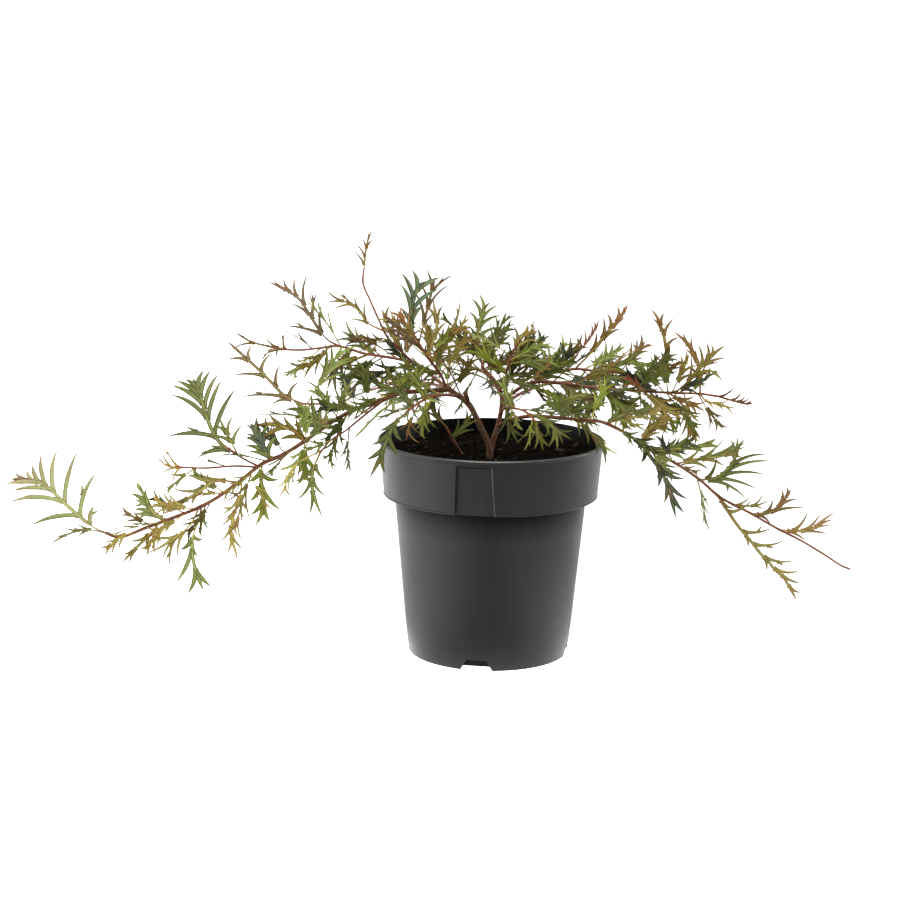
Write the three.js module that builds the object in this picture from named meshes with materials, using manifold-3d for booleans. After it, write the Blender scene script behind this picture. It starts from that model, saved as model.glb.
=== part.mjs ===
// A spreading grevillea with bronze young growth, in a 200 mm nursery pot.
// Millimetres, +Z up, +X to the right, +Y away from the viewer. The origin is on the pot's axis at its foot.
import * as THREE from "three";
import { mergeVertices } from "three/addons/utils/BufferGeometryUtils.js";
import Module from "manifold-3d";

const wasm = await Module();
wasm.setup();

// Pot
const POT_HEIGHT = 191.4;
const RIM_RADIUS = 100;
const COLLAR_BOTTOM = 142.5;
const COLLAR_BOTTOM_RADIUS = 94.2;
const COLLAR_TOP_RADIUS = 98.2;
const BODY_TOP_RADIUS = 84.6;
const FOOT_RADIUS = 71.2;
const WALL = 1.8;
const LIP_RADIUS = 1.5;
const FLOOR_THICKNESS = 2.4;
const POT_SEGMENTS = 32;
const PANEL_ANGLE = -9;
const PANEL_WIDTH = 33;
const PANEL_DEPTH = 3.4;
const NOTCH_COUNT = 4;
const NOTCH_FOOT_WIDTH = 28;
const NOTCH_TOP_WIDTH = 17.5;
const NOTCH_HEIGHT = 10;
const NOTCH_REACH = 15;
const FOOT_SKIN = 0.4;
const PANEL_FRAME = 3;
const PANEL_HEADROOM = 5;
const EDGE = 1;
const BEYOND = 8;

// Soil
const SOIL_TOP = 176.5;
const SOIL_GAP = 0.3;
const SOIL_SIDE_GAP = 0.9;
const SOIL_SEGMENTS = 18;
const SOIL_SHOULDER = 2;
const SOIL_RINGS = [0.75, 0.4];
const SOIL_SWELL = 1.3;
const SOIL_STEMS = ["left_fork", "thin_stem"];
const CHIP_COUNT = 7;
const CHIP_SEED = 77;
const CHIP_DEPTH = 4;
const CHIP_RISE = 0.4;

// The plant's outlines are laid out on a view 900 units wide and high, from in front of the pot and a little
// above it: a point of the view plus a distance towards the eye is a place in space. VIEW is where the eye
// stands, how it is turned in radians, and the scale and middle of the view.
const VIEW = {
  across: -36.2,
  away: 1900.6,
  height: 567.9,
  pitch: 0.201,
  roll: 0.0136,
  focal: 2205.8,
  middle: 450,
};
const UNITS_PER_MM = 1.145;

// Stems
const STEM_GAP = 0.35;
const THICK_STEM = 2.8;
const THIN_STEM = 1.3;
const RINGS_PER_POINT = 0.75;

const forward = new THREE.Vector3(0, Math.cos(VIEW.pitch), -Math.sin(VIEW.pitch));
const level = new THREE.Vector3(1, 0, 0);
const upright = new THREE.Vector3().crossVectors(level, forward);
const right = level.clone().multiplyScalar(Math.cos(VIEW.roll)).addScaledVector(upright, Math.sin(VIEW.roll));
const up = upright.clone().multiplyScalar(Math.cos(VIEW.roll)).addScaledVector(level, -Math.sin(VIEW.roll));
const eye = new THREE.Vector3(VIEW.across, -VIEW.away, VIEW.height);

// The place that shows at (x, y) of the view, toward millimetres nearer to the eye than the pot's axis.
function seen(x, y, toward) {
  const ray = forward.clone();
  ray.addScaledVector(right, (x - VIEW.middle) / VIEW.focal);
  ray.addScaledVector(up, (VIEW.middle - y) / VIEW.focal);
  return ray.multiplyScalar((VIEW.away - toward) / ray.y).add(eye);
}

// A closed geometry as a solid that can be joined and cut.
function solid(geometry) {
  const bare = geometry.clone();
  bare.deleteAttribute("normal");
  bare.deleteAttribute("uv");
  const merged = mergeVertices(bare, 1e-4);
  return new wasm.Manifold(
    new wasm.Mesh({
      numProp: 3,
      vertProperties: new Float32Array(merged.attributes.position.array),
      triVerts: new Uint32Array(merged.index.array),
    }),
  );
}

// A solid back as a geometry.
function geometryOf(body) {
  const mesh = body.getMesh();
  const positions = new Float32Array(mesh.numVert * 3);
  for (let i = 0; i < mesh.numVert; i++) {
    positions.set(mesh.vertProperties.subarray(i * mesh.numProp, i * mesh.numProp + 3), i * 3);
  }
  const geometry = new THREE.BufferGeometry();
  geometry.setAttribute("position", new THREE.BufferAttribute(positions, 3));
  geometry.setIndex(new THREE.BufferAttribute(new Uint32Array(mesh.triVerts), 1));
  geometry.computeVertexNormals();
  return geometry;
}

// A geometry from points and triangles.
function facets(points, triangles) {
  const geometry = new THREE.BufferGeometry();
  const positions = points.flatMap((p) => [p.x, p.y, p.z]);
  geometry.setAttribute("position", new THREE.Float32BufferAttribute(positions, 3));
  geometry.setIndex(triangles.flat());
  return geometry;
}

// A lathed profile of [radius, height] pairs, stood up along Z.
function turned(profile, segments) {
  const closed = [...profile, profile[0]].map(([radius, height]) => new THREE.Vector2(radius, height));
  const geometry = new THREE.LatheGeometry(closed, segments);
  geometry.rotateX(Math.PI / 2);
  return geometry;
}

// Seeded draws, the same on every run.
function draws(seed) {
  let state = seed >>> 0;
  return () => {
    state = (state + 0x6d2b79f5) >>> 0;
    let t = state;
    t = Math.imul(t ^ (t >>> 15), t | 1);
    t ^= t + Math.imul(t ^ (t >>> 7), t | 61);
    return ((t ^ (t >>> 14)) >>> 0) / 4294967296;
  };
}

// Each stem: name, node, the stem it grows from, radius at its start and end, and its route as x, y, toward.
const STEMS = [
  ["left_fork", "woody_stems", "", 4.2, 2.9,
    [[491, 500, 16], [491, 478, 16], [490, 462, 16], [489, 446, 16], [483, 432, 14], [477, 419, 12],
      [470, 406, 10], [463, 399, 8], [454, 393, 6], [445, 386, 4]]],
  ["left_stub", "woody_stems", "left_fork", 2.4, 2.2, [[468, 404, 10], [467, 398, 14], [465, 393, 17]]],
  ["right_fork", "woody_stems", "left_fork", 3.0, 2.0,
    [[490, 455, 16], [494, 438, 13], [498, 425, 10], [501, 411, 6], [502, 400, 2], [500, 390, -2],
      [494, 380, -5], [488, 374, -8], [482, 367, -10]]],
  ["thin_stem", "thin_stem", "", 1.4, 1.0,
    [[468, 484, 8], [468, 466, 8], [463, 456, 10], [455, 443, 14], [446, 427, 16]]],
  ["left_low_limb", "left_low_spray", "left_fork", 2.6, 1.4,
    [[449, 389, 5], [438, 390, 9], [425, 391, 14], [402, 393, 21], [380, 401, 26], [352, 411, 31],
      [330, 423, 37], [305, 441, 42], [282, 455, 46], [262, 464, 50], [240, 481, 54], [218, 497, 58],
      [198, 508, 60], [175, 517, 62], [148, 527, 64], [119, 537, 66], [106, 533, 67]]],
  ["left_leaf_stalk", "left_low_spray", "left_low_limb", 0.9, 0.8, [[258, 466, 50], [244, 459, 46],
      [226, 447, 42]]],
  ["left_side_stalk", "left_low_spray", "left_low_limb", 0.9, 0.7,
    [[256, 467, 51], [235, 466, 56], [205, 468, 62], [176, 467, 67]]],
  ["left_mid_stalk", "left_low_spray", "left_low_limb", 1.0, 0.8,
    [[354, 410, 31], [340, 407, 24], [320, 404, 16], [302, 404, 10]]],
  ["left_under_stem", "left_low_spray", "left_low_limb", 1.1, 0.8,
    [[384, 400, 26], [366, 414, 40], [345, 431, 50], [330, 441, 56], [320, 453, 60]]],
  ["left_upper_limb", "left_upper_spray", "left_fork left_low_limb", 2.1, 0.8,
    [[449, 388, 4], [438, 381, -6], [427, 372, -14], [415, 364, -20], [398, 359, -26], [380, 356, -32],
      [362, 353, -38], [350, 349, -42], [337, 346, -46], [320, 348, -50], [300, 350, -54], [282, 349, -58],
      [266, 346, -62]]],
  ["tall_stem", "tall_shoot", "left_upper_limb", 1.1, 0.6,
    [[413, 363, -20], [400, 350, -8], [388, 338, -4], [378, 318, -6], [370, 300, -10], [363, 283, -14],
      [364, 268, -17]]],
  ["crown_left_stem", "crown_left", "left_fork left_low_limb left_upper_limb", 1.6, 1.0,
    [[445, 385, 4], [441, 375, 16], [431, 362, 26], [422, 348, 30], [413, 334, 32]]],
  ["crown_middle_stem", "crown_middle", "right_fork", 1.6, 0.9,
    [[484, 370, -9], [481, 360, -14], [479, 350, -18], [478, 338, -22]]],
  ["crown_right_stem", "crown_right", "right_fork", 1.5, 0.9,
    [[500, 390, -2], [505, 380, 10], [508, 366, 20], [513, 352, 27], [520, 340, 32]]],
  ["front_stem", "front_shoot", "right_fork", 1.2, 0.8,
    [[500, 414, 8], [505, 408, 26], [513, 408, 44], [526, 412, 60], [536, 422, 72]]],
  ["right_upper_limb", "right_upper_spray", "right_fork", 1.9, 1.0,
    [[496, 383, -4], [507, 377, -16], [522, 374, -26], [540, 373, -34], [558, 372, -41], [575, 369, -48],
      [595, 371, -55], [618, 373, -62], [640, 376, -68], [656, 380, -72]]],
  ["right_middle_limb", "right_middle_spray", "right_fork", 2.1, 0.8,
    [[502, 402, 3], [509, 396, 2], [520, 388, 2], [536, 382, 2], [560, 383, 0], [580, 386, -2],
      [604, 389, -5], [630, 390, -8], [654, 392, -12], [678, 393, -16], [702, 394, -20], [722, 397, -24]]],
  ["right_low_limb", "right_low_spray", "right_fork", 2.0, 0.8,
    [[498, 426, 10], [506, 422, 20], [518, 418, 30], [535, 416, 40], [560, 418, 50], [585, 420, 58],
      [602, 422, 63], [618, 429, 68], [636, 440, 72], [655, 452, 75], [680, 466, 78], [700, 480, 80],
      [720, 497, 82], [750, 513, 84], [780, 530, 86], [800, 540, 87], [825, 555, 88], [842, 566, 88],
      [850, 569, 88]]],
  ["back_left_limb", "back_left_spray", "left_fork", 1.8, 1.0,
    [[470, 405, 10], [462, 398, -10], [450, 390, -34], [432, 384, -62], [408, 382, -90], [384, 386, -112],
      [366, 392, -128]]],
  ["back_right_limb", "back_right_spray", "right_fork", 1.8, 1.0,
    [[501, 410, 5], [508, 402, -18], [524, 392, -46], [548, 384, -76], [576, 382, -104], [604, 386, -126]]],
  ["back_middle_limb", "back_middle_spray", "right_fork", 1.6, 0.9,
    [[501, 396, 0], [496, 386, -24], [488, 376, -52], [478, 370, -82], [468, 370, -112]]],
  ["front_left_limb", "front_left_spray", "left_fork", 1.6, 0.9,
    [[459, 396, 7], [448, 395, 30], [434, 396, 54], [420, 402, 76], [408, 411, 92]]],
];

// Each leaf: its name, the stem it grows from, how far it leans to the viewer along its rib and across it,
// the width of its lobes in mm, the rib's points, and its lobes as tip, or tip, root and tips of side teeth.
const LEAVES = [
  ["far tip", "left_low_limb", 0.25, 0.5, 1.8,
    [[108, 534], [93, 527], [78, 515], [60, 499], [49, 488], [40, 483], [26, 480], [10, 479]],
    [[15, 473, 24, 479], [27, 470, 29, 480], [33, 465, 35, 481], [41, 455, 42, 483], [58, 450, 51, 489],
      [78, 451, 62, 499, 70, 467], [97, 473, 77, 513, 82, 482], [94, 506, 88, 521, 100, 510],
      [6, 484, 33, 482], [13, 491, 46, 488], [9, 504, 59, 499, 24, 496], [32, 526, 75, 513, 41, 519]]],
  ["far lower", "left_low_limb", 0.8, -0.4, 1.6, [[110, 535], [92, 530], [78, 531], [64, 536], [47, 546]],
    [[64, 527], [76, 523], [78, 538], [55, 535], [72, 527]]],
  ["green fan", "left_low_limb", -0.5, 0.6, 3.2, [[168, 521], [156, 515], [149, 505], [144, 495],
      [136, 482]],
    [[141, 486], [146, 489, 151, 508], [131, 494], [134, 500, 148, 510, 133, 507],
      [133, 515, 155, 516, 138, 520], [134, 510, 151, 512]]],
  ["small hanging", "left_low_limb", 0.7, 0.3, 1.8, [[160, 524], [145, 539], [132, 552], [121, 564]],
    [[128, 540], [123, 554], [129, 564, 134, 550], [146, 550]]],
  ["yellow low", "left_low_limb", 0.5, -0.6, 2.0, [[200, 509], [190, 525], [170, 541], [155, 550],
      [143, 554]],
    [[151, 536, 173, 540], [170, 566, 173, 541, 165, 560], [178, 558, 181, 534], [163, 562]]],
  ["pale hanging", "left_low_limb", -0.4, 0.5, 3.0, [[202, 508], [199, 520], [193, 535], [192, 548],
      [195, 568],
    [204, 592]],
    [[176, 582, 193, 553], [187, 593, 196, 572], [211, 586, 197, 572], [180, 549, 193, 542],
      [198, 556, 192, 548], [203, 539, 193, 540]]],
  ["olive low", "left_low_limb", 0.35, 0.6, 2.6, [[238, 482], [215, 481], [200, 491], [186, 500],
      [175, 508],
    [160, 515]],
    [[188, 472, 212, 483], [174, 488, 200, 493], [163, 503, 184, 500], [165, 509, 178, 506],
      [192, 505, 196, 494], [201, 474, 222, 480]]],
  ["orange side", "left_side_stalk", 0.3, -0.7, 1.3, [[180, 467], [172, 467], [164, 464], [160, 460],
      [154, 465]],
    [[166, 447, 176, 467, 162, 450], [161, 474, 176, 468], [173, 486, 180, 468], [162, 451, 168, 466]]],
  ["big green", "left_leaf_stalk", -0.35, 0.45, 3.6, [[232, 452], [222, 445], [213, 432], [207, 418],
      [203, 405],
    [199, 393], [193, 378]],
    [[185, 380, 197, 386], [177, 381, 199, 390], [171, 386, 202, 400], [171, 396, 206, 414],
      [169, 437, 214, 433, 185, 426], [199, 458, 226, 449, 209, 445, 200, 453], [204, 371, 197, 387],
      [211, 371, 199, 394], [219, 374, 203, 405], [222, 380, 206, 416], [235, 390, 214, 429]]],
  ["green low wing", "left_leaf_stalk", 0.5, 0.3, 2.4, [[238, 455], [228, 436], [222, 424], [219, 416]],
    [[243, 425, 232, 440], [206, 436, 228, 438], [213, 426, 224, 430], [234, 416, 226, 432]]],
  ["bronze long", "left_mid_stalk", -0.5, 0.5, 2.4, [[304, 405], [285, 396], [272, 383], [257, 368],
      [245, 357],
    [226, 340]],
    [[252, 345, 246, 357], [272, 353, 258, 369], [281, 364, 273, 385], [227, 360, 246, 358],
      [233, 376, 262, 374], [240, 398, 284, 395, 253, 391], [272, 405, 288, 397], [236, 351],
      [300, 382, 286, 396]]],
  ["green heart", "left_low_limb", 0.6, 0.4, 3.4, [[272, 459], [262, 445], [258, 432], [256, 417]],
    [[250, 424], [268, 424, 262, 442], [246, 437, 264, 449], [276, 437, 266, 450], [250, 452], [246, 446]]],
  ["middle green", "left_low_limb", -0.5, -0.5, 3.4, [[322, 428], [314, 418], [304, 410], [293, 400]],
    [[296, 418], [312, 396], [298, 428, 316, 422], [322, 404], [286, 410]]],
  ["olive heart", "left_low_limb", 0.7, -0.5, 3.0, [[305, 441], [296, 432], [284, 427], [270, 424],
      [256, 424]],
    [[284, 416], [270, 414], [280, 440], [266, 436], [296, 418]]],
  ["hanging green one", "left_low_limb", 0.4, 0.5, 3.2, [[262, 464], [261, 478], [263, 496], [262, 512],
      [255, 527]],
    [[280, 509, 263, 492], [250, 501, 262, 488], [270, 521, 263, 505], [251, 514, 262, 503],
      [278, 479, 262, 478], [248, 481, 262, 474]]],
  ["hanging bronze", "left_low_limb", -0.5, 0.5, 1.8, [[242, 480], [240, 496], [233, 518], [231, 535],
      [236, 553],
    [238, 563]],
    [[220, 514, 239, 500, 221, 507], [221, 526, 234, 514], [240, 537, 232, 522], [220, 541, 231, 529],
      [243, 549, 232, 536], [227, 553, 232, 541], [250, 511, 239, 498]]],
  ["hanging green two", "left_under_stem", 0.4, -0.5, 2.6, [[320, 453], [313, 470], [312, 485], [315, 499],
    [323, 519]],
    [[309, 514, 314, 494], [294, 481, 312, 472], [325, 480, 313, 468], [297, 499, 312, 482],
      [325, 495, 313, 482]]],
  ["hanging yellow", "left_under_stem", -0.7, 0.4, 1.4, [[322, 450], [300, 462], [288, 475], [286, 490],
    [292, 497]],
    [[275, 489, 287, 478], [277, 498, 286, 488], [274, 470, 298, 465], [295, 484]]],
  ["red tip", "left_upper_limb", -0.4, 0.5, 2.0, [[340, 346], [328, 340], [318, 328], [308, 312],
      [300, 300],
    [291, 293], [280, 287], [267, 281]],
    [[274, 280, 283, 289], [284, 278, 287, 291], [295, 278, 294, 295], [309, 273, 302, 303],
      [317, 293, 311, 316, 311, 292], [322, 305, 320, 330, 318, 312], [291, 304, 308, 312],
      [283, 326, 321, 331, 295, 321]]],
  ["upper end", "left_upper_limb", 0.5, 0.4, 1.5, [[285, 349], [268, 346], [252, 342], [233, 331]],
    [[243, 335], [265, 335, 276, 348], [286, 330, 288, 349, 282, 335], [267, 354, 280, 349, 275, 361],
      [232, 350, 252, 343]]],
  ["upper green one", "left_upper_limb", 0.6, -0.5, 2.4, [[350, 349], [340, 362], [332, 376], [327, 390]],
    [[322, 372], [316, 386], [345, 384], [338, 397], [350, 372]]],
  ["upper green two", "left_upper_limb", -0.6, 0.5, 2.4, [[372, 355], [362, 344], [350, 336], [340, 330]],
    [[356, 326], [346, 320], [336, 341], [368, 332], [345, 347]]],
  ["upper olive", "left_upper_limb", 0.5, 0.6, 2.4, [[330, 347], [318, 358], [306, 366], [292, 372]],
    [[300, 356], [316, 376], [304, 380], [288, 362]]],
  ["tall top", "tall_stem", -0.3, 0.5, 1.0, [[363, 280], [364, 268], [366, 250], [368, 240], [372, 230]],
    [[352, 251, 364, 263], [355, 243, 365, 255], [362, 238, 367, 247], [368, 233], [374, 240]]],
  ["tall yellow", "tall_stem", 0.4, -0.5, 1.6, [[384, 331], [368, 323], [360, 312], [350, 303], [338, 301],
    [326, 302]],
    [[326, 288, 341, 302], [342, 290, 352, 306, 338, 294], [354, 296, 359, 312], [365, 302, 364, 318],
      [333, 310, 349, 304], [350, 320, 366, 322]]],
  ["tall low", "tall_stem", -0.2, 0.4, 2.2, [[398, 349], [392, 334], [386, 322], [382, 308]],
    [[378, 326], [396, 316], [402, 328], [380, 338], [390, 306]]],
  ["crown green", "crown_left_stem", 0.3, 0.4, 3.0, [[414, 336], [411, 318], [413, 302], [418, 289],
      [425, 281]],
    [[400, 285, 411, 310], [402, 274, 414, 296], [412, 271, 419, 288], [439, 278, 421, 288, 430, 279],
      [438, 290, 413, 308], [400, 308], [424, 306]]],
  ["crown dark", "crown_left_stem", -0.6, 0.4, 2.6, [[418, 342], [406, 336], [396, 326], [383, 315]],
    [[388, 330], [398, 314], [410, 324], [396, 340], [384, 322]]],
  ["crown pale", "crown_left_stem", 0.6, 0.5, 2.2, [[428, 357], [433, 341], [437, 326], [435, 312],
      [433, 297]],
    [[425, 306, 436, 318], [443, 306, 437, 320], [424, 322], [447, 322], [424, 336]]],
  ["crown bronze", "crown_left_stem", 0.3, -0.5, 2.4, [[431, 361], [442, 348], [452, 336], [461, 328],
      [471, 328]],
    [[460, 301, 453, 335, 456, 308], [466, 314, 458, 331], [470, 318], [474, 340, 464, 330], [442, 330],
      [462, 345], [450, 356]]],
  ["crown left low", "crown_left_stem", 0.8, 0.4, 2.4, [[437, 373], [424, 370], [410, 368], [396, 362]],
    [[412, 356], [400, 352], [422, 382], [406, 380], [392, 370]]],
  ["crown top", "crown_middle_stem", -0.3, 0.5, 2.6, [[478, 344], [478, 330], [481, 318], [484, 306],
      [479, 293]],
    [[472, 299, 483, 312], [469, 312, 480, 324], [490, 303, 484, 309], [497, 306, 482, 318],
      [500, 316, 480, 324], [468, 326], [500, 328, 478, 334]]],
  ["crown back", "crown_middle_stem", 0.7, -0.5, 2.2, [[480, 355], [468, 347], [458, 342], [446, 340]],
    [[458, 330], [470, 334], [460, 354], [448, 350]]],
  ["crown side", "crown_middle_stem", -0.7, 0.5, 2.2, [[480, 354], [490, 346], [500, 342], [512, 334]],
    [[496, 330], [506, 326], [500, 352], [512, 346]]],
  ["right crown one", "crown_right_stem", 0.3, 0.5, 2.0, [[516, 347], [520, 338], [526, 331], [528, 324]],
    [[514, 327], [536, 331, 524, 336], [538, 340], [512, 336]]],
  ["right crown two", "crown_right_stem", 0.6, -0.5, 2.0, [[510, 360], [526, 352], [542, 345], [558, 350]],
    [[541, 334], [546, 339], [536, 358], [548, 358], [528, 340]]],
  ["right crown three", "crown_right_stem", 0.5, 0.6, 2.6, [[507, 372], [494, 362], [484, 354], [474, 344]],
    [[484, 342], [494, 348], [474, 358], [486, 370], [464, 352]]],
  ["right crown four", "crown_right_stem", 0.8, -0.4, 2.6, [[506, 378], [520, 382], [534, 386], [550, 384]],
    [[536, 374], [524, 370], [530, 396], [544, 394]]],
  ["front hanging one", "front_stem", 0.5, 0.4, 2.0, [[536, 422], [537, 432], [541, 440], [543, 452]],
    [[530, 440], [546, 436], [534, 449], [550, 446]]],
  ["front hanging two", "front_stem", 0.7, -0.5, 2.0, [[528, 413], [542, 418], [552, 426], [557, 440],
      [557, 450]],
    [[546, 436], [566, 436], [560, 420], [548, 446]]],
  ["front up", "front_stem", 0.4, 0.5, 2.4, [[514, 408], [508, 398], [504, 388], [494, 378]],
    [[496, 392], [514, 386], [498, 402], [504, 374]]],
  ["front left leaf", "front_stem", 0.9, -0.3, 2.2, [[508, 411], [508, 422], [513, 433], [518, 443]],
    [[499, 432], [518, 424], [506, 443], [526, 436]]],
  ["right tall", "right_upper_limb", 0.4, 0.5, 2.6, [[575, 369], [586, 358], [597, 346], [606, 334],
      [615, 324],
    [622, 315], [628, 304]],
    [[596, 333, 595, 349], [603, 318, 605, 336], [607, 314, 613, 326], [618, 307, 620, 319],
      [624, 306, 624, 314], [620, 329, 606, 337], [625, 318, 616, 325]]],
  ["right pale", "right_upper_limb", -0.5, 0.4, 2.2, [[584, 369], [598, 362], [610, 356], [619, 350],
      [626, 346]],
    [[605, 341, 606, 358], [612, 344, 612, 356], [621, 342, 618, 352], [624, 358], [612, 366], [603, 350]]],
  ["right dark", "right_upper_limb", 0.6, -0.6, 2.8, [[556, 372], [564, 360], [570, 352], [572, 342]],
    [[560, 342], [580, 350], [554, 352], [578, 362], [552, 360]]],
  ["red twig", "right_upper_limb", -0.7, 0.3, 1.0, [[566, 370], [574, 358], [583, 347], [590, 338],
      [596, 328],
    [599, 319]],
    [[584, 330, 587, 343], [591, 324, 594, 334], [594, 322], [589, 334], [576, 338, 584, 348]]],
  ["right green one", "right_upper_limb", -0.4, 0.6, 3.0, [[600, 371], [616, 366], [632, 362], [650, 366],
    [659, 366]],
    [[637, 358], [640, 349], [656, 360], [645, 374], [628, 374], [622, 355]]],
  ["right bronze top", "right_upper_limb", 0.3, 0.4, 2.0, [[653, 379], [662, 369], [666, 355], [665, 342],
    [662, 330], [658, 319], [651, 308]],
    [[653, 319, 661, 328], [664, 313, 660, 322], [674, 319, 664, 332], [679, 338, 667, 344],
      [671, 345, 667, 354], [678, 355, 666, 358]]],
  ["right bronze second", "right_middle_limb", -0.4, 0.5, 2.0, [[700, 394], [700, 378], [697, 362],
      [691, 350],
    [684, 340], [673, 331]],
    [[684, 333, 686, 343], [692, 338, 691, 352], [696, 350, 696, 360], [685, 350, 694, 358], [706, 366],
      [688, 366]]],
  ["right fork leaf", "right_middle_limb", 0.5, 0.4, 2.2, [[680, 393], [690, 379], [700, 368], [710, 358],
    [717, 351], [726, 345]],
    [[698, 345, 704, 363], [706, 343, 710, 358], [711, 345, 714, 354], [726, 358, 706, 364],
      [720, 373, 698, 373, 723, 381], [706, 387, 692, 383]]],
  ["red comb", "right_middle_limb", 0.3, -0.4, 1.1, [[716, 396], [727, 399], [738, 402], [747, 404],
      [753, 403]],
    [[735, 387, 722, 398, 729, 390], [741, 391, 734, 401], [745, 396, 740, 403], [749, 398], [752, 400]]],
  ["yellow small", "right_middle_limb", 0.7, 0.3, 1.3, [[700, 394], [706, 401], [718, 404], [728, 408],
    [734, 417]],
    [[738, 408], [723, 411], [714, 410], [729, 399]]],
  ["right mid one", "right_middle_limb", 0.6, 0.5, 2.8, [[560, 383], [572, 392], [586, 398], [602, 402]],
    [[584, 386], [572, 404], [598, 392], [588, 410], [600, 412]]],
  ["right mid two", "right_middle_limb", 0.4, -0.6, 2.8, [[600, 389], [614, 398], [626, 404], [642, 406]],
    [[626, 392], [614, 410], [640, 396], [630, 416], [602, 404]]],
  ["right mid three", "right_middle_limb", 0.6, 0.4, 2.6, [[642, 391], [656, 400], [668, 410], [684, 420]],
    [[672, 400], [656, 414], [680, 408], [668, 422], [690, 412]]],
  ["right mid four", "right_middle_limb", -0.6, -0.4, 2.6, [[622, 390], [632, 380], [642, 374], [656, 370]],
    [[640, 364], [630, 370], [652, 382], [660, 376]]],
  ["right mid five", "right_middle_limb", 0.8, -0.3, 2.2, [[668, 392], [680, 400], [692, 404], [706, 412]],
    [[694, 396], [684, 410], [704, 402], [696, 416]]],
  ["right mid six", "right_middle_limb", 0.7, 0.5, 2.6, [[534, 382], [546, 374], [556, 366], [570, 360]],
    [[550, 360], [560, 354], [562, 374], [572, 368]]],
  ["low green one", "right_low_limb", -0.3, 0.5, 2.6, [[700, 480], [716, 478], [727, 470], [734, 460],
    [737, 446], [738, 436]],
    [[730, 440, 736, 454], [745, 440, 737, 452], [766, 455, 733, 462], [772, 462, 730, 467],
      [756, 489, 720, 476, 744, 484], [745, 499, 712, 479, 728, 493], [716, 458], [764, 475, 724, 473]]],
  ["low green broad", "right_low_limb", 0.4, 0.5, 3.2, [[655, 452], [675, 449], [695, 447], [709, 443],
      [717, 438]],
    [[704, 452], [718, 447, 703, 446], [690, 434], [676, 438], [684, 460], [668, 462]]],
  ["low green second", "right_low_limb", -0.6, -0.4, 2.6, [[676, 464], [700, 459], [720, 456], [735, 450],
    [746, 447]],
    [[716, 446], [735, 441], [724, 466], [708, 470], [742, 458], [700, 448]]],
  ["low dark hanging", "right_low_limb", 0.6, 0.4, 3.0, [[636, 440], [650, 456], [660, 470], [668, 485],
    [672, 500], [676, 519]],
    [[684, 512, 671, 494], [687, 498, 668, 482], [684, 478, 662, 470], [658, 486], [664, 502, 668, 486],
      [641, 462, 648, 452]]],
  ["low tip leaf", "right_low_limb", 0.4, -0.4, 1.9, [[716, 494], [727, 510], [738, 526], [750, 540],
      [760, 553],
    [768, 561], [775, 570], [783, 577], [790, 588], [797, 601]],
    [[751, 500, 730, 515, 742, 502], [771, 528, 745, 534, 762, 525], [783, 540, 755, 547, 775, 548],
      [793, 560, 766, 559, 785, 566], [799, 570, 776, 571], [800, 583, 783, 578], [800, 592, 790, 588],
      [734, 508, 722, 503], [748, 547], [766, 570]]],
  ["low bronze", "right_low_limb", 0.3, 0.6, 1.9, [[752, 514], [768, 513], [778, 507], [785, 499],
      [791, 489]],
    [[782, 490, 783, 501], [787, 487], [797, 500, 782, 503], [781, 496], [772, 499], [804, 508, 774, 511],
      [770, 524, 760, 514]]],
  ["low bronze second", "right_low_limb", -0.4, 0.5, 1.7, [[780, 530], [798, 531], [812, 529], [822, 521],
    [836, 511]],
    [[833, 520, 818, 526], [830, 526, 812, 529], [827, 534, 804, 531], [820, 514, 808, 530],
      [807, 511, 796, 530], [805, 541, 790, 530]]],
  ["low thin", "right_low_limb", 0.8, 0.3, 1.4, [[735, 505], [746, 506], [758, 505], [770, 500]],
    [[762, 494], [764, 510], [750, 497]]],
  ["over the lip", "right_low_limb", 0.9, -0.3, 2.4, [[578, 420], [590, 432], [600, 442], [608, 456]],
    [[605, 464, 602, 446], [588, 444], [606, 440], [596, 454]]],
  ["low limb up one", "right_low_limb", 0.4, 0.6, 2.8, [[560, 418], [574, 410], [588, 406], [604, 402]],
    [[586, 396], [600, 410], [574, 400], [590, 418]]],
  ["low limb up two", "right_low_limb", 0.5, -0.5, 2.8, [[606, 424], [620, 416], [634, 412], [650, 412]],
    [[634, 402], [620, 406], [646, 420], [632, 424], [652, 404]]],
  ["low limb up three", "right_low_limb", -0.4, 0.5, 2.6, [[640, 443], [648, 430], [660, 424], [674, 424]],
    [[650, 418], [662, 414], [668, 434], [656, 440]]],
  ["low limb front", "right_low_limb", 0.9, 0.3, 2.4, [[535, 416], [548, 424], [560, 432], [572, 440]],
    [[560, 420], [550, 436], [572, 430], [562, 444]]],
  ["lip left", "front_left_limb", 0.3, 0.5, 3.0, [[408, 411], [395, 424], [386, 442], [380, 458],
      [369, 479]],
    [[385, 472, 382, 454], [367, 459], [399, 456, 388, 440], [372, 444], [402, 440, 392, 428], [380, 430]]],
  ["lip left up", "front_left_limb", 0.5, -0.4, 2.8, [[414, 406], [402, 396], [390, 388], [376, 384]],
    [[392, 376], [402, 384], [388, 400], [376, 394], [406, 408]]],
  ["dried piece", "front_left_limb", 0.4, 0.5, 1.2, [[420, 402], [414, 414], [409, 426], [406, 441]],
    [[420, 433, 410, 424], [419, 442, 407, 432], [398, 430]]],
  ["lip centre", "front_left_limb", 0.3, 0.4, 2.4, [[434, 396], [428, 408], [426, 420], [428, 434]],
    [[418, 418], [438, 416], [420, 430], [438, 428]]],
  ["front left up", "front_left_limb", 0.4, 0.4, 2.6, [[426, 399], [420, 388], [416, 376], [418, 362]],
    [[408, 384], [430, 380], [406, 370], [428, 366]]],
  ["thin stem leaf", "thin_stem", 0.6, 0.5, 2.0, [[452, 437], [460, 430], [468, 420], [474, 410]],
    [[458, 418], [474, 430], [466, 410], [480, 420]]],
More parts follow.
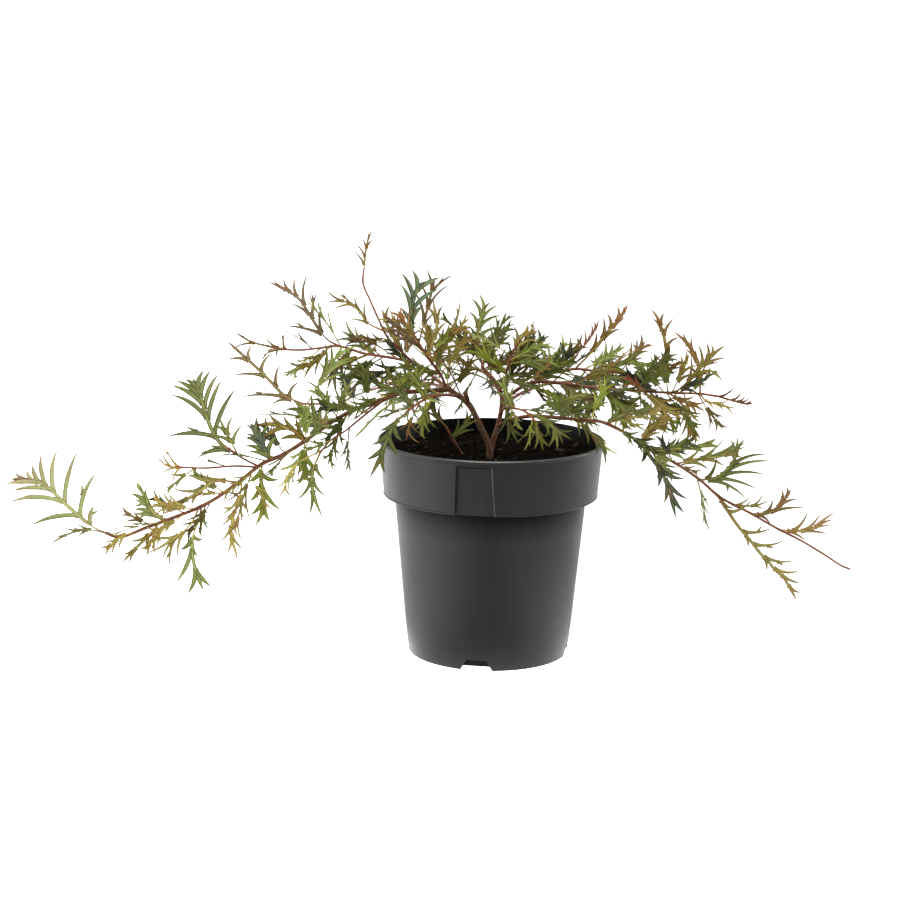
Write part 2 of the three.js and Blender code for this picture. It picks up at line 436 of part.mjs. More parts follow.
  ["thin stem end", "thin_stem", 0.5, -0.5, 2.2, [[446, 427], [440, 420], [434, 411], [430, 400]],
    [[426, 412], [440, 406], [426, 402], [434, 396]]],
];

// Leaf rules: angles in radians, widths in mm.
const PLATE = 0.75;
const LOBE_ANGLE = 0.66;
const TOOTH_ANGLE = 0.7;
const RIB_WIDTH = 1.9;
const BLADE_FOLD = 0.18;
const BLADE_CURL = 0.006;
const WIDEST = 0.4;
const BROAD_LOBE = 3.2;
const ROOT_BREADTH = 1.3;
const SHARED_NOTCH = 1.6;

const nodes = new Map();

// Joins a solid to the node of that name.
function join(node, body) {
  nodes.set(node, nodes.has(node) ? nodes.get(node).add(body) : body);
}

// A tube round a line of centres, from one radius to another, with flat ends.
function tube(centres, thick, thin, sides) {
  const last = centres.length - 1;
  const tangents = centres.map((_, i) => {
    const ahead = centres[Math.min(i + 1, last)];
    const behind = centres[Math.max(i - 1, 0)];
    return ahead.clone().sub(behind).normalize();
  });
  const side = new THREE.Vector3(0.3, 1, 0.1).cross(tangents[0]).normalize();
  const points = [];
  centres.forEach((centre, i) => {
    side.addScaledVector(tangents[i], -side.dot(tangents[i])).normalize();
    const other = new THREE.Vector3().crossVectors(tangents[i], side);
    const radius = thick + ((thin - thick) * i) / last;
    for (let k = 0; k < sides; k++) {
      const turn = (k / sides) * Math.PI * 2;
      const spoke = side.clone().multiplyScalar(Math.cos(turn)).addScaledVector(other, Math.sin(turn));
      points.push(centre.clone().addScaledVector(spoke, radius));
    }
  });
  const triangles = [];
  for (let i = 0; i < last; i++) {
    for (let k = 0; k < sides; k++) {
      const a = i * sides + k;
      const b = i * sides + ((k + 1) % sides);
      triangles.push([a, b, b + sides], [a, b + sides, a + sides]);
    }
  }
  for (let k = 1; k < sides - 1; k++) {
    triangles.push([0, k + 1, k], [last * sides, last * sides + k, last * sides + k + 1]);
  }
  return facets(points, triangles);
}

// A stem's centres as x, y, toward, smoothed through the points of its route.
function centreLine(route) {
  const curve = new THREE.CatmullRomCurve3(route.map((p) => new THREE.Vector3(...p)));
  return curve.getSpacedPoints(Math.max(2, Math.round(route.length * RINGS_PER_POINT)));
}

const stems = new Map();
for (const [name, node, parents, thick, thin, route] of STEMS) {
  stems.set(name, { node, parents, thick, thin, line: centreLine(route) });
}

// A stem as a solid, swollen by some millimetres.
function stemSolid(stem, swell) {
  const centres = stem.line.map((p) => seen(p.x, p.y, p.z));
  const sides = 4 + (stem.thick > THIN_STEM) + (stem.thick > THICK_STEM);
  return solid(tube(centres, stem.thick + swell, stem.thin + swell, sides));
}

// The nearest place on a line to a point: how far along, the place itself, how far off, and on which side.
function nearest(line, x, y) {
  let best = null;
  let passed = 0;
  for (let i = 0; i + 1 < line.length; i++) {
    const [a, b] = [line[i], line[i + 1]];
    const length = Math.hypot(b.x - a.x, b.y - a.y);
    const dx = (b.x - a.x) / length;
    const dy = (b.y - a.y) / length;
    const along = Math.min(Math.max((x - a.x) * dx + (y - a.y) * dy, 0), length);
    const px = a.x + dx * along;
    const py = a.y + dy * along;
    const off = Math.hypot(x - px, y - py);
    if (!best || off < best.off) {
      const left = dx * (y - a.y) - dy * (x - a.x) > 0;
      best = { s: passed + along, x: px, y: py, z: a.z + ((b.z - a.z) * along) / length, off, left };
    }
    passed += length;
  }
  return best;
}

// The point at a distance along a line, with the line's direction there.
function pointAt(line, s) {
  let rest = s;
  for (let i = 0; i + 1 < line.length; i++) {
    const [a, b] = [line[i], line[i + 1]];
    const length = Math.hypot(b.x - a.x, b.y - a.y);
    if (rest <= length || i + 2 === line.length) {
      const dx = (b.x - a.x) / length;
      const dy = (b.y - a.y) / length;
      return { x: a.x + dx * rest, y: a.y + dy * rest, dx, dy };
    }
    rest -= length;
  }
}

function lengthOf(line) {
  let total = 0;
  for (let i = 0; i + 1 < line.length; i++) {
    total += Math.hypot(line[i + 1].x - line[i].x, line[i + 1].y - line[i].y);
  }
  return total;
}

// Which lobes stand on one side of a rib, from its foot to its tip, and how far along each has its root.
function lobesOn(side, rib, lobes, width) {
  const total = lengthOf(rib);
  const list = [];
  for (const [tipX, tipY, rootX, rootY, ...teeth] of lobes) {
    const near = nearest(rib, tipX, tipY);
    if (near.left !== side) continue;
    const behind = near.s - near.off / Math.tan(LOBE_ANGLE);
    const root = rootX === undefined ? behind : nearest(rib, rootX, rootY).s;
    const points = [];
    for (let i = 0; i < teeth.length; i += 2) points.push({ x: teeth[i], y: teeth[i + 1] });
    list.push({ s: root, tip: { x: tipX, y: tipY }, teeth: points });
  }
  list.sort((p, q) => p.s - q.s);
  const step = width * 1.15;
  let highest = total - width * 0.7;
  for (let i = list.length - 1; i >= 0; i--) {
    list[i].s = Math.min(list[i].s, highest);
    highest = list[i].s - step;
  }
  let lowest = width * 0.9;
  for (const lobe of list) {
    lobe.s = Math.max(lobe.s, lowest);
    lowest = lobe.s + step;
  }
  return list;
}

// One lobe's outline from its near root to its tip and back, with its teeth. sign tells the side of the rib.
function lobePath(start, end, root, lobe, width, sign) {
  const length = Math.hypot(lobe.tip.x - root.x, lobe.tip.y - root.y);
  const dx = (lobe.tip.x - root.x) / length;
  const dy = (lobe.tip.y - root.y) / length;
  const edge = (part, side) => {
    const half = (width / 2) * (part < WIDEST ? 1 : (1 - part) / (1 - WIDEST));
    const out = side * sign * half;
    return { x: root.x + dx * length * part + dy * out, y: root.y + dy * length * part - dx * out };
  };
  const teethOn = { 1: [], [-1]: [] };
  for (const tooth of lobe.teeth) {
    const along = (tooth.x - root.x) * dx + (tooth.y - root.y) * dy;
    const off = (tooth.x - root.x) * dy - (tooth.y - root.y) * dx;
    const part = Math.min(Math.max((along - Math.abs(off) / Math.tan(TOOTH_ANGLE)) / length, 0.25), 0.8);
    teethOn[off * sign > 0 ? 1 : -1].push({ part, tooth });
  }
  const wide = Math.min((width * 0.5) / length, 0.12);
  const path = [start];
  const near = teethOn[1].sort((p, q) => p.part - q.part);
  const broad = width > BROAD_LOBE * UNITS_PER_MM;
  if (broad && (!near.length || near[0].part > WIDEST + wide)) path.push(edge(WIDEST, 1));
  for (const { part, tooth } of near) path.push(edge(part - wide, 1), tooth, edge(part + wide, 1));
  path.push(lobe.tip);
  const far = teethOn[-1].sort((p, q) => q.part - p.part);
  for (const { part, tooth } of far) path.push(edge(part + wide, -1), tooth, edge(part - wide, -1));
  path.push(end);
  return path;
}

// A leaf's flat outline: up the left side of the rib, round its tip and down the right side.
function outline(rib, lobes, width, ribWidth) {
  const total = lengthOf(rib);
  const halfRib = (s) => (ribWidth / 2) * (1 - 0.45 * (s / total));
  const edgeAt = (s, sign) => {
    const p = pointAt(rib, s);
    return { x: p.x - p.dy * halfRib(s) * sign, y: p.y + p.dx * halfRib(s) * sign };
  };
  const sideOf = (sign) => {
    const list = lobesOn(sign > 0, rib, lobes, width);
    const marks = list.map((lobe) => {
      const start = edgeAt(lobe.s - width / 2, sign);
      const end = edgeAt(lobe.s + width / 2, sign);
      return { s: lobe.s, points: lobePath(start, end, pointAt(rib, lobe.s), lobe, width, -sign) };
    });
    let passed = 0;
    for (let i = 1; i + 1 < rib.length; i++) {
      passed += Math.hypot(rib[i].x - rib[i - 1].x, rib[i].y - rib[i - 1].y);
      const clear = list.every((lobe) => Math.abs(lobe.s - passed) > width * 1.6);
      if (clear) marks.push({ s: passed, points: [edgeAt(passed, sign)] });
    }
    marks.sort((p, q) => p.s - q.s);
    for (let i = 0; i + 1 < marks.length; i++) {
      const [end, start] = [marks[i].points.at(-1), marks[i + 1].points[0]];
      if (Math.hypot(end.x - start.x, end.y - start.y) > width * SHARED_NOTCH) continue;
      marks[i + 1].points[0] = { x: (end.x + start.x) / 2, y: (end.y + start.y) / 2 };
      marks[i].points.pop();
    }
    return [edgeAt(0, sign), ...marks.flatMap((mark) => mark.points)];
  };
  return [...sideOf(1), rib[rib.length - 1], ...sideOf(-1).reverse()];
}

// A thin blade on a flat outline: place puts each of its points in space, on one face of the blade or the
// other. Face 1 is the one that the outline runs round against the clock on.
function blade(contour, place) {
  const flat = contour.map((p) => new THREE.Vector2(p.x, p.y));
  if (THREE.ShapeUtils.isClockWise(flat)) flat.reverse();
  const faces = THREE.ShapeUtils.triangulateShape(flat, []);
  const count = flat.length;
  const points = [...flat.map((p) => place(p, 1)), ...flat.map((p) => place(p, -1))];
  const triangles = faces.flatMap(([a, b, c]) => [[a, b, c], [a + count, c + count, b + count]]);
  for (let i = 0; i < count; i++) {
    const next = (i + 1) % count;
    triangles.push([i, i + count, next + count], [i, next + count, next]);
  }
  return facets(points, triangles);
}

// Builds one leaf of the table on its stem.
function leafSolid([, stemName, along, across, lobeWidth, ribPoints, lobes], index) {
  const stem = stems.get(stemName);
  const foot = nearest(stem.line, ribPoints[0][0], ribPoints[0][1]);
  const rib = ribPoints.map(([x, y]) => ({ x, y }));
  const footPoint = { x: foot.x, y: foot.y };
  if (Math.hypot(rib[0].x - foot.x, rib[0].y - foot.y) > 3) rib.unshift(footPoint);
  else rib[0] = footPoint;
  const tip = rib[rib.length - 1];
  const span = Math.hypot(tip.x - rib[0].x, tip.y - rib[0].y);
  const ex = (tip.x - rib[0].x) / span;
  const ey = (tip.y - rib[0].y) / span;
  const curl = (draws(index + 1)() - 0.5) * BLADE_CURL * 2;
  const half = (PLATE / 2) * Math.hypot(1, along, across);
  const place = (p, face) => {
    const a = ((p.x - foot.x) * ex + (p.y - foot.y) * ey) / UNITS_PER_MM;
    const b = ((p.y - foot.y) * ex - (p.x - foot.x) * ey) / UNITS_PER_MM;
    const toward = foot.z + along * a + across * b + BLADE_FOLD * Math.abs(b) + curl * a * a;
    return seen(p.x, p.y, toward - face * half);
  };
  const contour = outline(rib, lobes, lobeWidth * ROOT_BREADTH * UNITS_PER_MM, RIB_WIDTH * UNITS_PER_MM);
  return solid(blade(contour, place));
}

// Plain leaves that fill the middle of the plant: the stem, where on it the leaf stands, its heading in
// degrees from the right, its length in mm, and how far it leans to the viewer along its rib and across it.
const PLAIN_LEAVES = [
  ["left_low_limb", 390, 397, 128, 36, 0.5, 0.4],
  ["left_low_limb", 368, 405, 98, 34, 0.4, -0.5],
  ["left_low_limb", 352, 411, 222, 36, 0.6, 0.5],
  ["left_low_limb", 335, 420, 72, 34, 0.5, 0.5],
  ["left_low_limb", 302, 443, 40, 34, 0.5, 0.4],
  ["left_upper_limb", 404, 361, 80, 34, -0.5, 0.5],
  ["left_upper_limb", 378, 355, 215, 38, -0.5, 0.5],
  ["crown_left_stem", 433, 364, 205, 38, 0.5, -0.4],
  ["crown_left_stem", 426, 354, 40, 36, 0.6, 0.4],
  ["crown_middle_stem", 479, 348, 30, 34, -0.6, 0.4],
  ["crown_right_stem", 509, 364, 12, 40, 0.4, 0.5],
  ["right_upper_limb", 523, 374, 66, 40, -0.5, 0.5],
  ["right_upper_limb", 541, 373, 38, 44, -0.5, -0.5],
  ["right_upper_limb", 560, 372, -24, 40, -0.6, 0.4],
  ["right_upper_limb", 596, 371, -48, 38, -0.5, 0.5],
  ["right_upper_limb", 619, 373, 46, 36, -0.5, -0.4],
  ["right_middle_limb", 537, 382, -46, 40, 0.5, 0.5],
  ["right_middle_limb", 574, 385, 30, 40, 0.5, -0.5],
  ["right_middle_limb", 606, 389, -62, 40, 0.4, 0.5],
  ["right_middle_limb", 632, 390, 34, 38, 0.5, 0.5],
  ["right_middle_limb", 655, 392, -66, 40, 0.5, -0.5],
  ["right_low_limb", 548, 417, 36, 38, 0.5, 0.4],
  ["right_low_limb", 590, 420, 64, 36, 0.5, -0.5],
  ["right_low_limb", 624, 433, -30, 34, 0.6, 0.5],
  ["right_low_limb", 660, 455, 20, 34, 0.4, 0.5],
];

// Rows of leaves set in a spiral on a stem: the stem, where on it the row starts and ends as parts of its
// length, how many, the first one's turn round the stem in degrees, and the leaves' length in mm.
const ROWS = [
  ["back_left_limb", 0.4, 1, 4, 20, 54],
  ["back_right_limb", 0.4, 1, 4, 250, 54],
  ["back_middle_limb", 0.5, 1, 3, 60, 50],
  ["front_left_limb", 0.7, 0.95, 1, 200, 36],
];
const SPIRAL = 137.5;
const ROW_LOBE_WIDTH = 2.4;
const ROW_LOBES = 6;
const PLAIN_LOBES = 5;
const PLAIN_WIDTH = 2.8;
const LEAF_RISE = 0.85;
const LEAF_DROOP = 0.14;
const PLAIN_SEED = 900;
const ROW_SEED = 500;
const ROW_STEP = 40;

// A plain leaf's rib and lobes, lying flat along x, in mm.
function plainLeaf(length, count, draw) {
  const bend = (draw() - 0.5) * 0.2 * length;
  const rib = [0, 0.35, 0.7, 1].map((part) => ({ x: part * length, y: bend * part * part }));
  const lobes = [];
  for (let i = 0; i < count; i++) {
    const part = 0.2 + (0.66 * i) / (count - 1);
    const side = i % 2 ? 1 : -1;
    const reach = length * (0.4 - 0.22 * part) * (0.85 + 0.3 * draw());
    const rootX = part * length;
    const rootY = bend * part * part;
    lobes.push([rootX + reach * 0.78, rootY + side * reach * 0.63, rootX, rootY]);
  }
  return { rib, lobes };
}

// A plain leaf turned and moved onto its place in the picture, as an entry like those of the table.
function plainEntry([stemName, x, y, heading, length, along, across], i) {
  const { rib, lobes } = plainLeaf(length, PLAIN_LOBES, draws(PLAIN_SEED + i));
  const turn = THREE.MathUtils.degToRad(heading);
  const put = (px, py) => [
    x + (px * Math.cos(turn) - py * Math.sin(turn)) * UNITS_PER_MM,
    y - (px * Math.sin(turn) + py * Math.cos(turn)) * UNITS_PER_MM,
  ];
  const placed = lobes.map(([tipX, tipY, rootX, rootY]) => [...put(tipX, tipY), ...put(rootX, rootY)]);
  return ["plain " + i, stemName, along, across, PLAIN_WIDTH, rib.map((p) => put(p.x, p.y)), placed];
}

// One leaf of a row: it stands out from the stem and forward along it, face up.
function rowLeaf(stem, part, turn, length, seed) {
  const draw = draws(seed);
  const line = stem.line.map((p) => seen(p.x, p.y, p.z));
  const whole = part * (line.length - 1);
  const i = Math.min(Math.floor(whole), line.length - 2);
  const foot = line[i].clone().lerp(line[i + 1], whole - i);
  const ahead = line[i + 1].clone().sub(line[i]).normalize();
  const top = new THREE.Vector3(0, 0, 1).addScaledVector(ahead, -ahead.z).normalize();
  const spoke = top.clone().applyAxisAngle(ahead, (turn * Math.PI) / 180);
  const u = ahead.multiplyScalar(Math.cos(LEAF_RISE)).addScaledVector(spoke, Math.sin(LEAF_RISE)).normalize();
  const lift = new THREE.Vector3((draw() - 0.5) * 0.9, (draw() - 0.5) * 0.9 - 0.3, 1);
  const w = lift.addScaledVector(u, -lift.dot(u)).normalize();
  const v = new THREE.Vector3().crossVectors(w, u);
  const { rib, lobes } = plainLeaf(length, ROW_LOBES, draw);
  const place = (p, face) => {
    const rise = BLADE_FOLD * Math.abs(p.y) - (LEAF_DROOP * p.x * p.x) / length + (face * PLATE) / 2;
    return foot.clone().addScaledVector(u, p.x).addScaledVector(v, p.y).addScaledVector(w, rise);
  };
  return solid(blade(outline(rib, lobes, ROW_LOBE_WIDTH * ROOT_BREADTH, RIB_WIDTH), place));
}

// The plant
for (const stem of stems.values()) join(stem.node, stemSolid(stem, 0));
[...LEAVES, ...PLAIN_LEAVES.map(plainEntry)].forEach((leaf, i) => {
  const [, stemName] = leaf;
  join(stems.get(stemName).node, leafSolid(leaf, i));
});
ROWS.forEach(([name, from, to, count, first, length], row) => {
  const stem = stems.get(name);
  for (let i = 0; i < count; i++) {
    const part = from + ((to - from) * i) / Math.max(count - 1, 1);
    const long = length * (1.1 - 0.2 * part);
    join(stem.node, rowLeaf(stem, part * 0.98, first + SPIRAL * i, long, ROW_SEED + ROW_STEP * row + i));
  }
});

// Where a stem leaves another node's stem, its foot is cut to that stem's round with a narrow gap.
for (const stem of stems.values()) {
  for (const parent of stem.parents.split(" ")) {
    const from = stems.get(parent);
    if (!from || from.node === stem.node) continue;
    nodes.set(stem.node, nodes.get(stem.node).subtract(stemSolid(from, STEM_GAP)));
  }
}

// Pot: lathed, with a flat panel let into the collar and drain pockets round the foot.
const LEDGE = COLLAR_BOTTOM + WALL;
const COLLAR_SLOPE = (COLLAR_TOP_RADIUS - COLLAR_BOTTOM_RADIUS) / (POT_HEIGHT - COLLAR_BOTTOM);
const collarRadius = (height) => COLLAR_BOTTOM_RADIUS + COLLAR_SLOPE * (height - COLLAR_BOTTOM);
const bodyRadius = (height) => FOOT_RADIUS + ((BODY_TOP_RADIUS - FOOT_RADIUS) * height) / COLLAR_BOTTOM;

function potProfile() {
  const underLip = POT_HEIGHT - 2 * LIP_RADIUS;
  return [
    [0, 0],
    [FOOT_RADIUS - EDGE, 0],
    [FOOT_RADIUS, EDGE],
    [BODY_TOP_RADIUS, COLLAR_BOTTOM],
    [COLLAR_BOTTOM_RADIUS, COLLAR_BOTTOM],
    [collarRadius(underLip), underLip],
    [RIM_RADIUS, underLip + EDGE / 2],
    [RIM_RADIUS, POT_HEIGHT - EDGE],
    [RIM_RADIUS - EDGE, POT_HEIGHT],
    [RIM_RADIUS - 2 * LIP_RADIUS, POT_HEIGHT],
    [collarRadius(POT_HEIGHT) - WALL - EDGE / 2, POT_HEIGHT - EDGE],
    [collarRadius(LEDGE) - WALL, LEDGE],
    [bodyRadius(LEDGE) - WALL, LEDGE],
    [bodyRadius(FLOOR_THICKNESS) - WALL, FLOOR_THICKNESS],
    [0, FLOOR_THICKNESS],
  ];
}

// A prism of a trapezoid, wide at its foot, that runs outwards from one radius to another. swell widens it.
function pocketPrism(turn, bottom, from, to, swell) {
  const flare = (NOTCH_FOOT_WIDTH - NOTCH_TOP_WIDTH) / 2 / NOTCH_HEIGHT;
  const foot = NOTCH_FOOT_WIDTH / 2 + swell - flare * bottom;
  const top = NOTCH_TOP_WIDTH / 2 + swell;
  const shape = new THREE.Shape();
  shape.moveTo(-foot, bottom);
  shape.lineTo(foot, bottom);
  shape.lineTo(top, NOTCH_HEIGHT + swell);
  shape.lineTo(-top, NOTCH_HEIGHT + swell);
  shape.closePath();
  const geometry = new THREE.ExtrudeGeometry(shape, { depth: to - from, bevelEnabled: false });
  geometry.rotateX(Math.PI / 2);
  geometry.translate(0, -from, 0);
  geometry.rotateZ(turn);
  return solid(geometry);
}

// A box let into the collar's face or set behind it: outer and inner are distances out from the panel's face.
function panelBox(width, bottom, top, outer, inner) {
  const radius = (COLLAR_BOTTOM_RADIUS + COLLAR_TOP_RADIUS) / 2 - PANEL_DEPTH;
  const geometry = new THREE.BoxGeometry(width, outer - inner, top - bottom);
  geometry.translate(0, -(outer + inner) / 2, 0);
  geometry.rotateX(Math.atan(COLLAR_SLOPE));
  geometry.translate(0, -radius, (bottom + top) / 2);
  geometry.rotateZ(THREE.MathUtils.degToRad(PANEL_ANGLE));
  return solid(geometry);
}

const pocketTurns = Array.from({ length: NOTCH_COUNT }, (_, i) => {
  return THREE.MathUtils.degToRad(PANEL_ANGLE) + (i * 2 * Math.PI) / NOTCH_COUNT;
});

function potSolid() {
  const backing = panelBox(PANEL_WIDTH + PANEL_FRAME, LEDGE, POT_HEIGHT - PANEL_FRAME, 0, -WALL);
  const recess = panelBox(PANEL_WIDTH, COLLAR_BOTTOM - WALL, POT_HEIGHT - PANEL_HEADROOM, BEYOND, 0);
  let pot = solid(turned(potProfile(), POT_SEGMENTS)).add(backing).subtract(recess);
  const inside = FOOT_RADIUS - NOTCH_REACH;
  const skin = FOOT_RADIUS - WALL;
  const walls = pocketTurns.map((turn) => pocketPrism(turn, FOOT_SKIN, inside - WALL, skin, WALL));
  const pockets = pocketTurns.map((turn) => pocketPrism(turn, -BEYOND, inside, FOOT_RADIUS + BEYOND, 0));
  for (const wall of walls) pot = pot.add(wall);
  for (const pocket of pockets) pot = pot.subtract(pocket);
  return pot;
}

// Soil: the root ball, uneven on top, with bark chips standing in it and a plain hole round each stem.
function soilSolid() {
  const floor = FLOOR_THICKNESS + SOIL_GAP;
  const topRadius = collarRadius(SOIL_TOP) - WALL - SOIL_SIDE_GAP;
  const profile = [
    [0, floor],
    [bodyRadius(floor) - WALL - SOIL_SIDE_GAP, floor],
    [bodyRadius(LEDGE) - WALL - SOIL_SIDE_GAP, LEDGE + SOIL_GAP],
    [collarRadius(LEDGE) - WALL - SOIL_SIDE_GAP, LEDGE + SOIL_GAP],
    [topRadius, SOIL_TOP - SOIL_SHOULDER],
    ...SOIL_RINGS.map((part) => [topRadius * part, SOIL_TOP]),
    [0, SOIL_TOP],
  ];
  const geometry = turned(profile, SOIL_SEGMENTS);
  const position = geometry.getAttribute("position");
  for (let i = 0; i < position.count; i++) {
    if (position.getZ(i) < SOIL_TOP) continue;
    const [x, y] = [position.getX(i), position.getY(i)];
    const swell = SOIL_SWELL * Math.sin(x * 0.11 + 1) * Math.cos(y * 0.13);
    const crumbs = (SOIL_SWELL / 2) * Math.sin(x * 0.31 - y * 0.27);
    position.setZ(i, SOIL_TOP + swell + crumbs);
  }
  let soil = solid(geometry);
  const draw = draws(CHIP_SEED);
  for (let i = 0; i < CHIP_COUNT; i++) {
    const radius = topRadius * (0.25 + 0.65 * Math.sqrt(draw()));
    const around = draw() * Math.PI * 2;
    const chip = new THREE.BoxGeometry(5 + 6 * draw(), 3 + 3 * draw(), CHIP_DEPTH);
    chip.rotateX((draw() - 0.5) * 0.7);
    chip.rotateZ(draw() * Math.PI);
    chip.translate(radius * Math.cos(around), radius * Math.sin(around), SOIL_TOP + CHIP_RISE);
    soil = soil.add(solid(chip));
  }
  const backing = PANEL_WIDTH + PANEL_FRAME + 2 * SOIL_GAP;
  soil = soil.subtract(panelBox(backing, COLLAR_BOTTOM, POT_HEIGHT, BEYOND, -WALL - SOIL_GAP));
  const inside = FOOT_RADIUS - NOTCH_REACH - WALL - SOIL_GAP;
  for (const turn of pocketTurns) {
    soil = soil.subtract(pocketPrism(turn, FOOT_SKIN, inside, FOOT_RADIUS + BEYOND, WALL + SOIL_GAP));
  }
  for (const name of SOIL_STEMS) soil = soil.subtract(stemSolid(stems.get(name), STEM_GAP));
  return soil;
}

nodes.set("pot", potSolid());
nodes.set("soil", soilSolid());

// Each node's colour and roughness.
const LOOKS = {
  pot: ["#414145", 0.5],
  soil: ["#2c221c", 0.95],
  woody_stems: ["#6c4e46", 0.75],
  thin_stem: ["#74503c", 0.6],
  left_low_spray: ["#5d6940", 0.5],
  left_upper_spray: ["#66623c", 0.5],
  tall_shoot: ["#8c7040", 0.5],
  crown_left: ["#66703f", 0.5],
  crown_middle: ["#5b6a40", 0.5],
  crown_right: ["#606a42", 0.5],
  front_shoot: ["#7a7e42", 0.5],
  right_upper_spray: ["#5c6a42", 0.5],
  right_middle_spray: ["#646840", 0.5],
  right_low_spray: ["#5a6841", 0.5],
  back_left_spray: ["#4e6040", 0.55],
  back_right_spray: ["#4e6040", 0.55],
  back_middle_spray: ["#546240", 0.55],
  front_left_spray: ["#566a46", 0.5],
};

// Each node keeps its largest piece: crumbs that a cut leaves loose are dropped.
const rootGroup = new THREE.Group();
for (const [name, body] of nodes) {
  const [largest] = body.decompose().sort((p, q) => q.volume() - p.volume());
  const [color, roughness] = LOOKS[name];
  const material = new THREE.MeshStandardMaterial({ color, roughness, metalness: 0 });
  const mesh = new THREE.Mesh(geometryOf(largest), material);
  mesh.name = name;
  rootGroup.add(mesh);
}

export default rootGroup;
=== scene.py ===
"""A spreading grevillea with bronze young growth in a 200 mm nursery pot: its looks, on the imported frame."""
import math

import bmesh
import bpy
from mathutils import Matrix, Vector


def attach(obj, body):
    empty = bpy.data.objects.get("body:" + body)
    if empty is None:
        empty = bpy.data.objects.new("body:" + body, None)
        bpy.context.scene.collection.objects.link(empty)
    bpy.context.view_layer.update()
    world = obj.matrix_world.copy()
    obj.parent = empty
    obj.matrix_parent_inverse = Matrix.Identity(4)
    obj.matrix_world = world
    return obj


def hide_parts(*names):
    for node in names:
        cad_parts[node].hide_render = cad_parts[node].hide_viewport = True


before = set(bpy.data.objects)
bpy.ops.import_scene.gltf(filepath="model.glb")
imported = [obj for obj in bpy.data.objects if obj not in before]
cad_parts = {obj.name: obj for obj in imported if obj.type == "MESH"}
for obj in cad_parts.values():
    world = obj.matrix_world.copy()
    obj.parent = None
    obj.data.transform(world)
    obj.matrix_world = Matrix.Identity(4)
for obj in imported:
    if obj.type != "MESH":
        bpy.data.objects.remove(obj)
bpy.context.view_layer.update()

MM = 0.001

# The view that the plant is laid out on: 900 units wide and high, y down. A point of the view, and a distance
# in mm from the pot's axis towards the eye, is a place in space.
EYE = (-36.2, -1900.6, 567.9)
PITCH = 0.201
ROLL = 0.0136
FOCAL = 2205.8
VIEW_SIZE = 900
MIDDLE = VIEW_SIZE / 2
UNITS_PER_MM = 1.145

# Pot, in mm.
POT_HEIGHT = 191.4
RIM_RADIUS = 100.0
COLLAR_BOTTOM = 142.5
COLLAR_BOTTOM_RADIUS = 94.2
COLLAR_TOP_RADIUS = 98.2
COLLAR_SLOPE = (COLLAR_TOP_RADIUS - COLLAR_BOTTOM_RADIUS) / (POT_HEIGHT - COLLAR_BOTTOM)
BODY_TOP_RADIUS = 84.6
FOOT_RADIUS = 71.2
FOOT_ROUNDING = 1.9
FOOT_FLAT = 8.0
WALL = 1.8
LEDGE = COLLAR_BOTTOM + WALL
FLOOR_THICKNESS = 2.4
LIP_RADIUS = 1.5
LIP_ROUNDING = 0.9
COLLAR_HEIGHTS = (150.0, 158.0, 166.0, 174.0, 182.0, POT_HEIGHT - 3.4)
BODY_PARTS = (0.1, 0.25, 0.4, 0.55, 0.7)
PANEL_ANGLE = -9.0
PANEL_WIDTH = 33.0
PANEL_DEPTH = 3.4
PANEL_DRAFT = 0.7
PANEL_EDGE_DRAFT = 1.35
PANEL_LEAN = (1.6, -3.6)
PANEL_HEADROOM = 6.2
PANEL_FRAME = 3.0
PANEL_GROOVE = 2.2
NOTCH_COUNT = 4
NOTCH_FOOT_WIDTH = 28.0
NOTCH_TOP_WIDTH = 17.5
NOTCH_HEIGHT = 10.0
NOTCH_REACH = 15.0
NOTCH_WALL_BOTTOM = 0.4
POT_SIDES = 180

# How far a cut runs on outside the pot, in mm.
BEYOND = 8.0

# Below the collar the body draws in a little, and its plastic is darker and less shiny towards the collar, in
# narrow bands: a painted shadow under the collar.
NECK_BANDS = 12
NECK_STEP = 2.25
NECK_CUT = 1.3
NECK_REACH = 15.0

# Soil, in mm.
SOIL_TOP = 176.5
SOIL_SIDE_GAP = 0.3
CRUST_RINGS = 56
CRUST_SIDES = 180
CRUST_SKIRT = 6.0
CRUST_SEED = 61

# Bark chips: how many, the seed of their draws, and the smallest and largest size in mm.
SMALL_CHIPS = (1300, 17, 1.0, 3.4)
LARGE_CHIPS = (90, 23, 3.4, 6.5)
CHIP_MARGIN = 5.0
PALE_CHIP_SHARE = 0.14

FORWARD = Vector((0.0, math.cos(PITCH), -math.sin(PITCH)))
SIDEWAYS = Vector((1.0, 0.0, 0.0))
UPRIGHT = SIDEWAYS.cross(FORWARD)
RIGHT = SIDEWAYS * math.cos(ROLL) + UPRIGHT * math.sin(ROLL)
UP = UPRIGHT * math.cos(ROLL) - SIDEWAYS * math.sin(ROLL)


def seen(x, y, toward):
    """The place, in mm, that shows at (x, y) of the view, so many mm towards the eye from the pot's axis."""
    a = (x - MIDDLE) / FOCAL
    b = (MIDDLE - y) / FOCAL
    ray = [f + r * a + u * b for f, r, u in zip(FORWARD, RIGHT, UP)]
    reach = (-EYE[1] - toward) / ray[1]
    return tuple(e + c * reach for e, c in zip(EYE, ray))


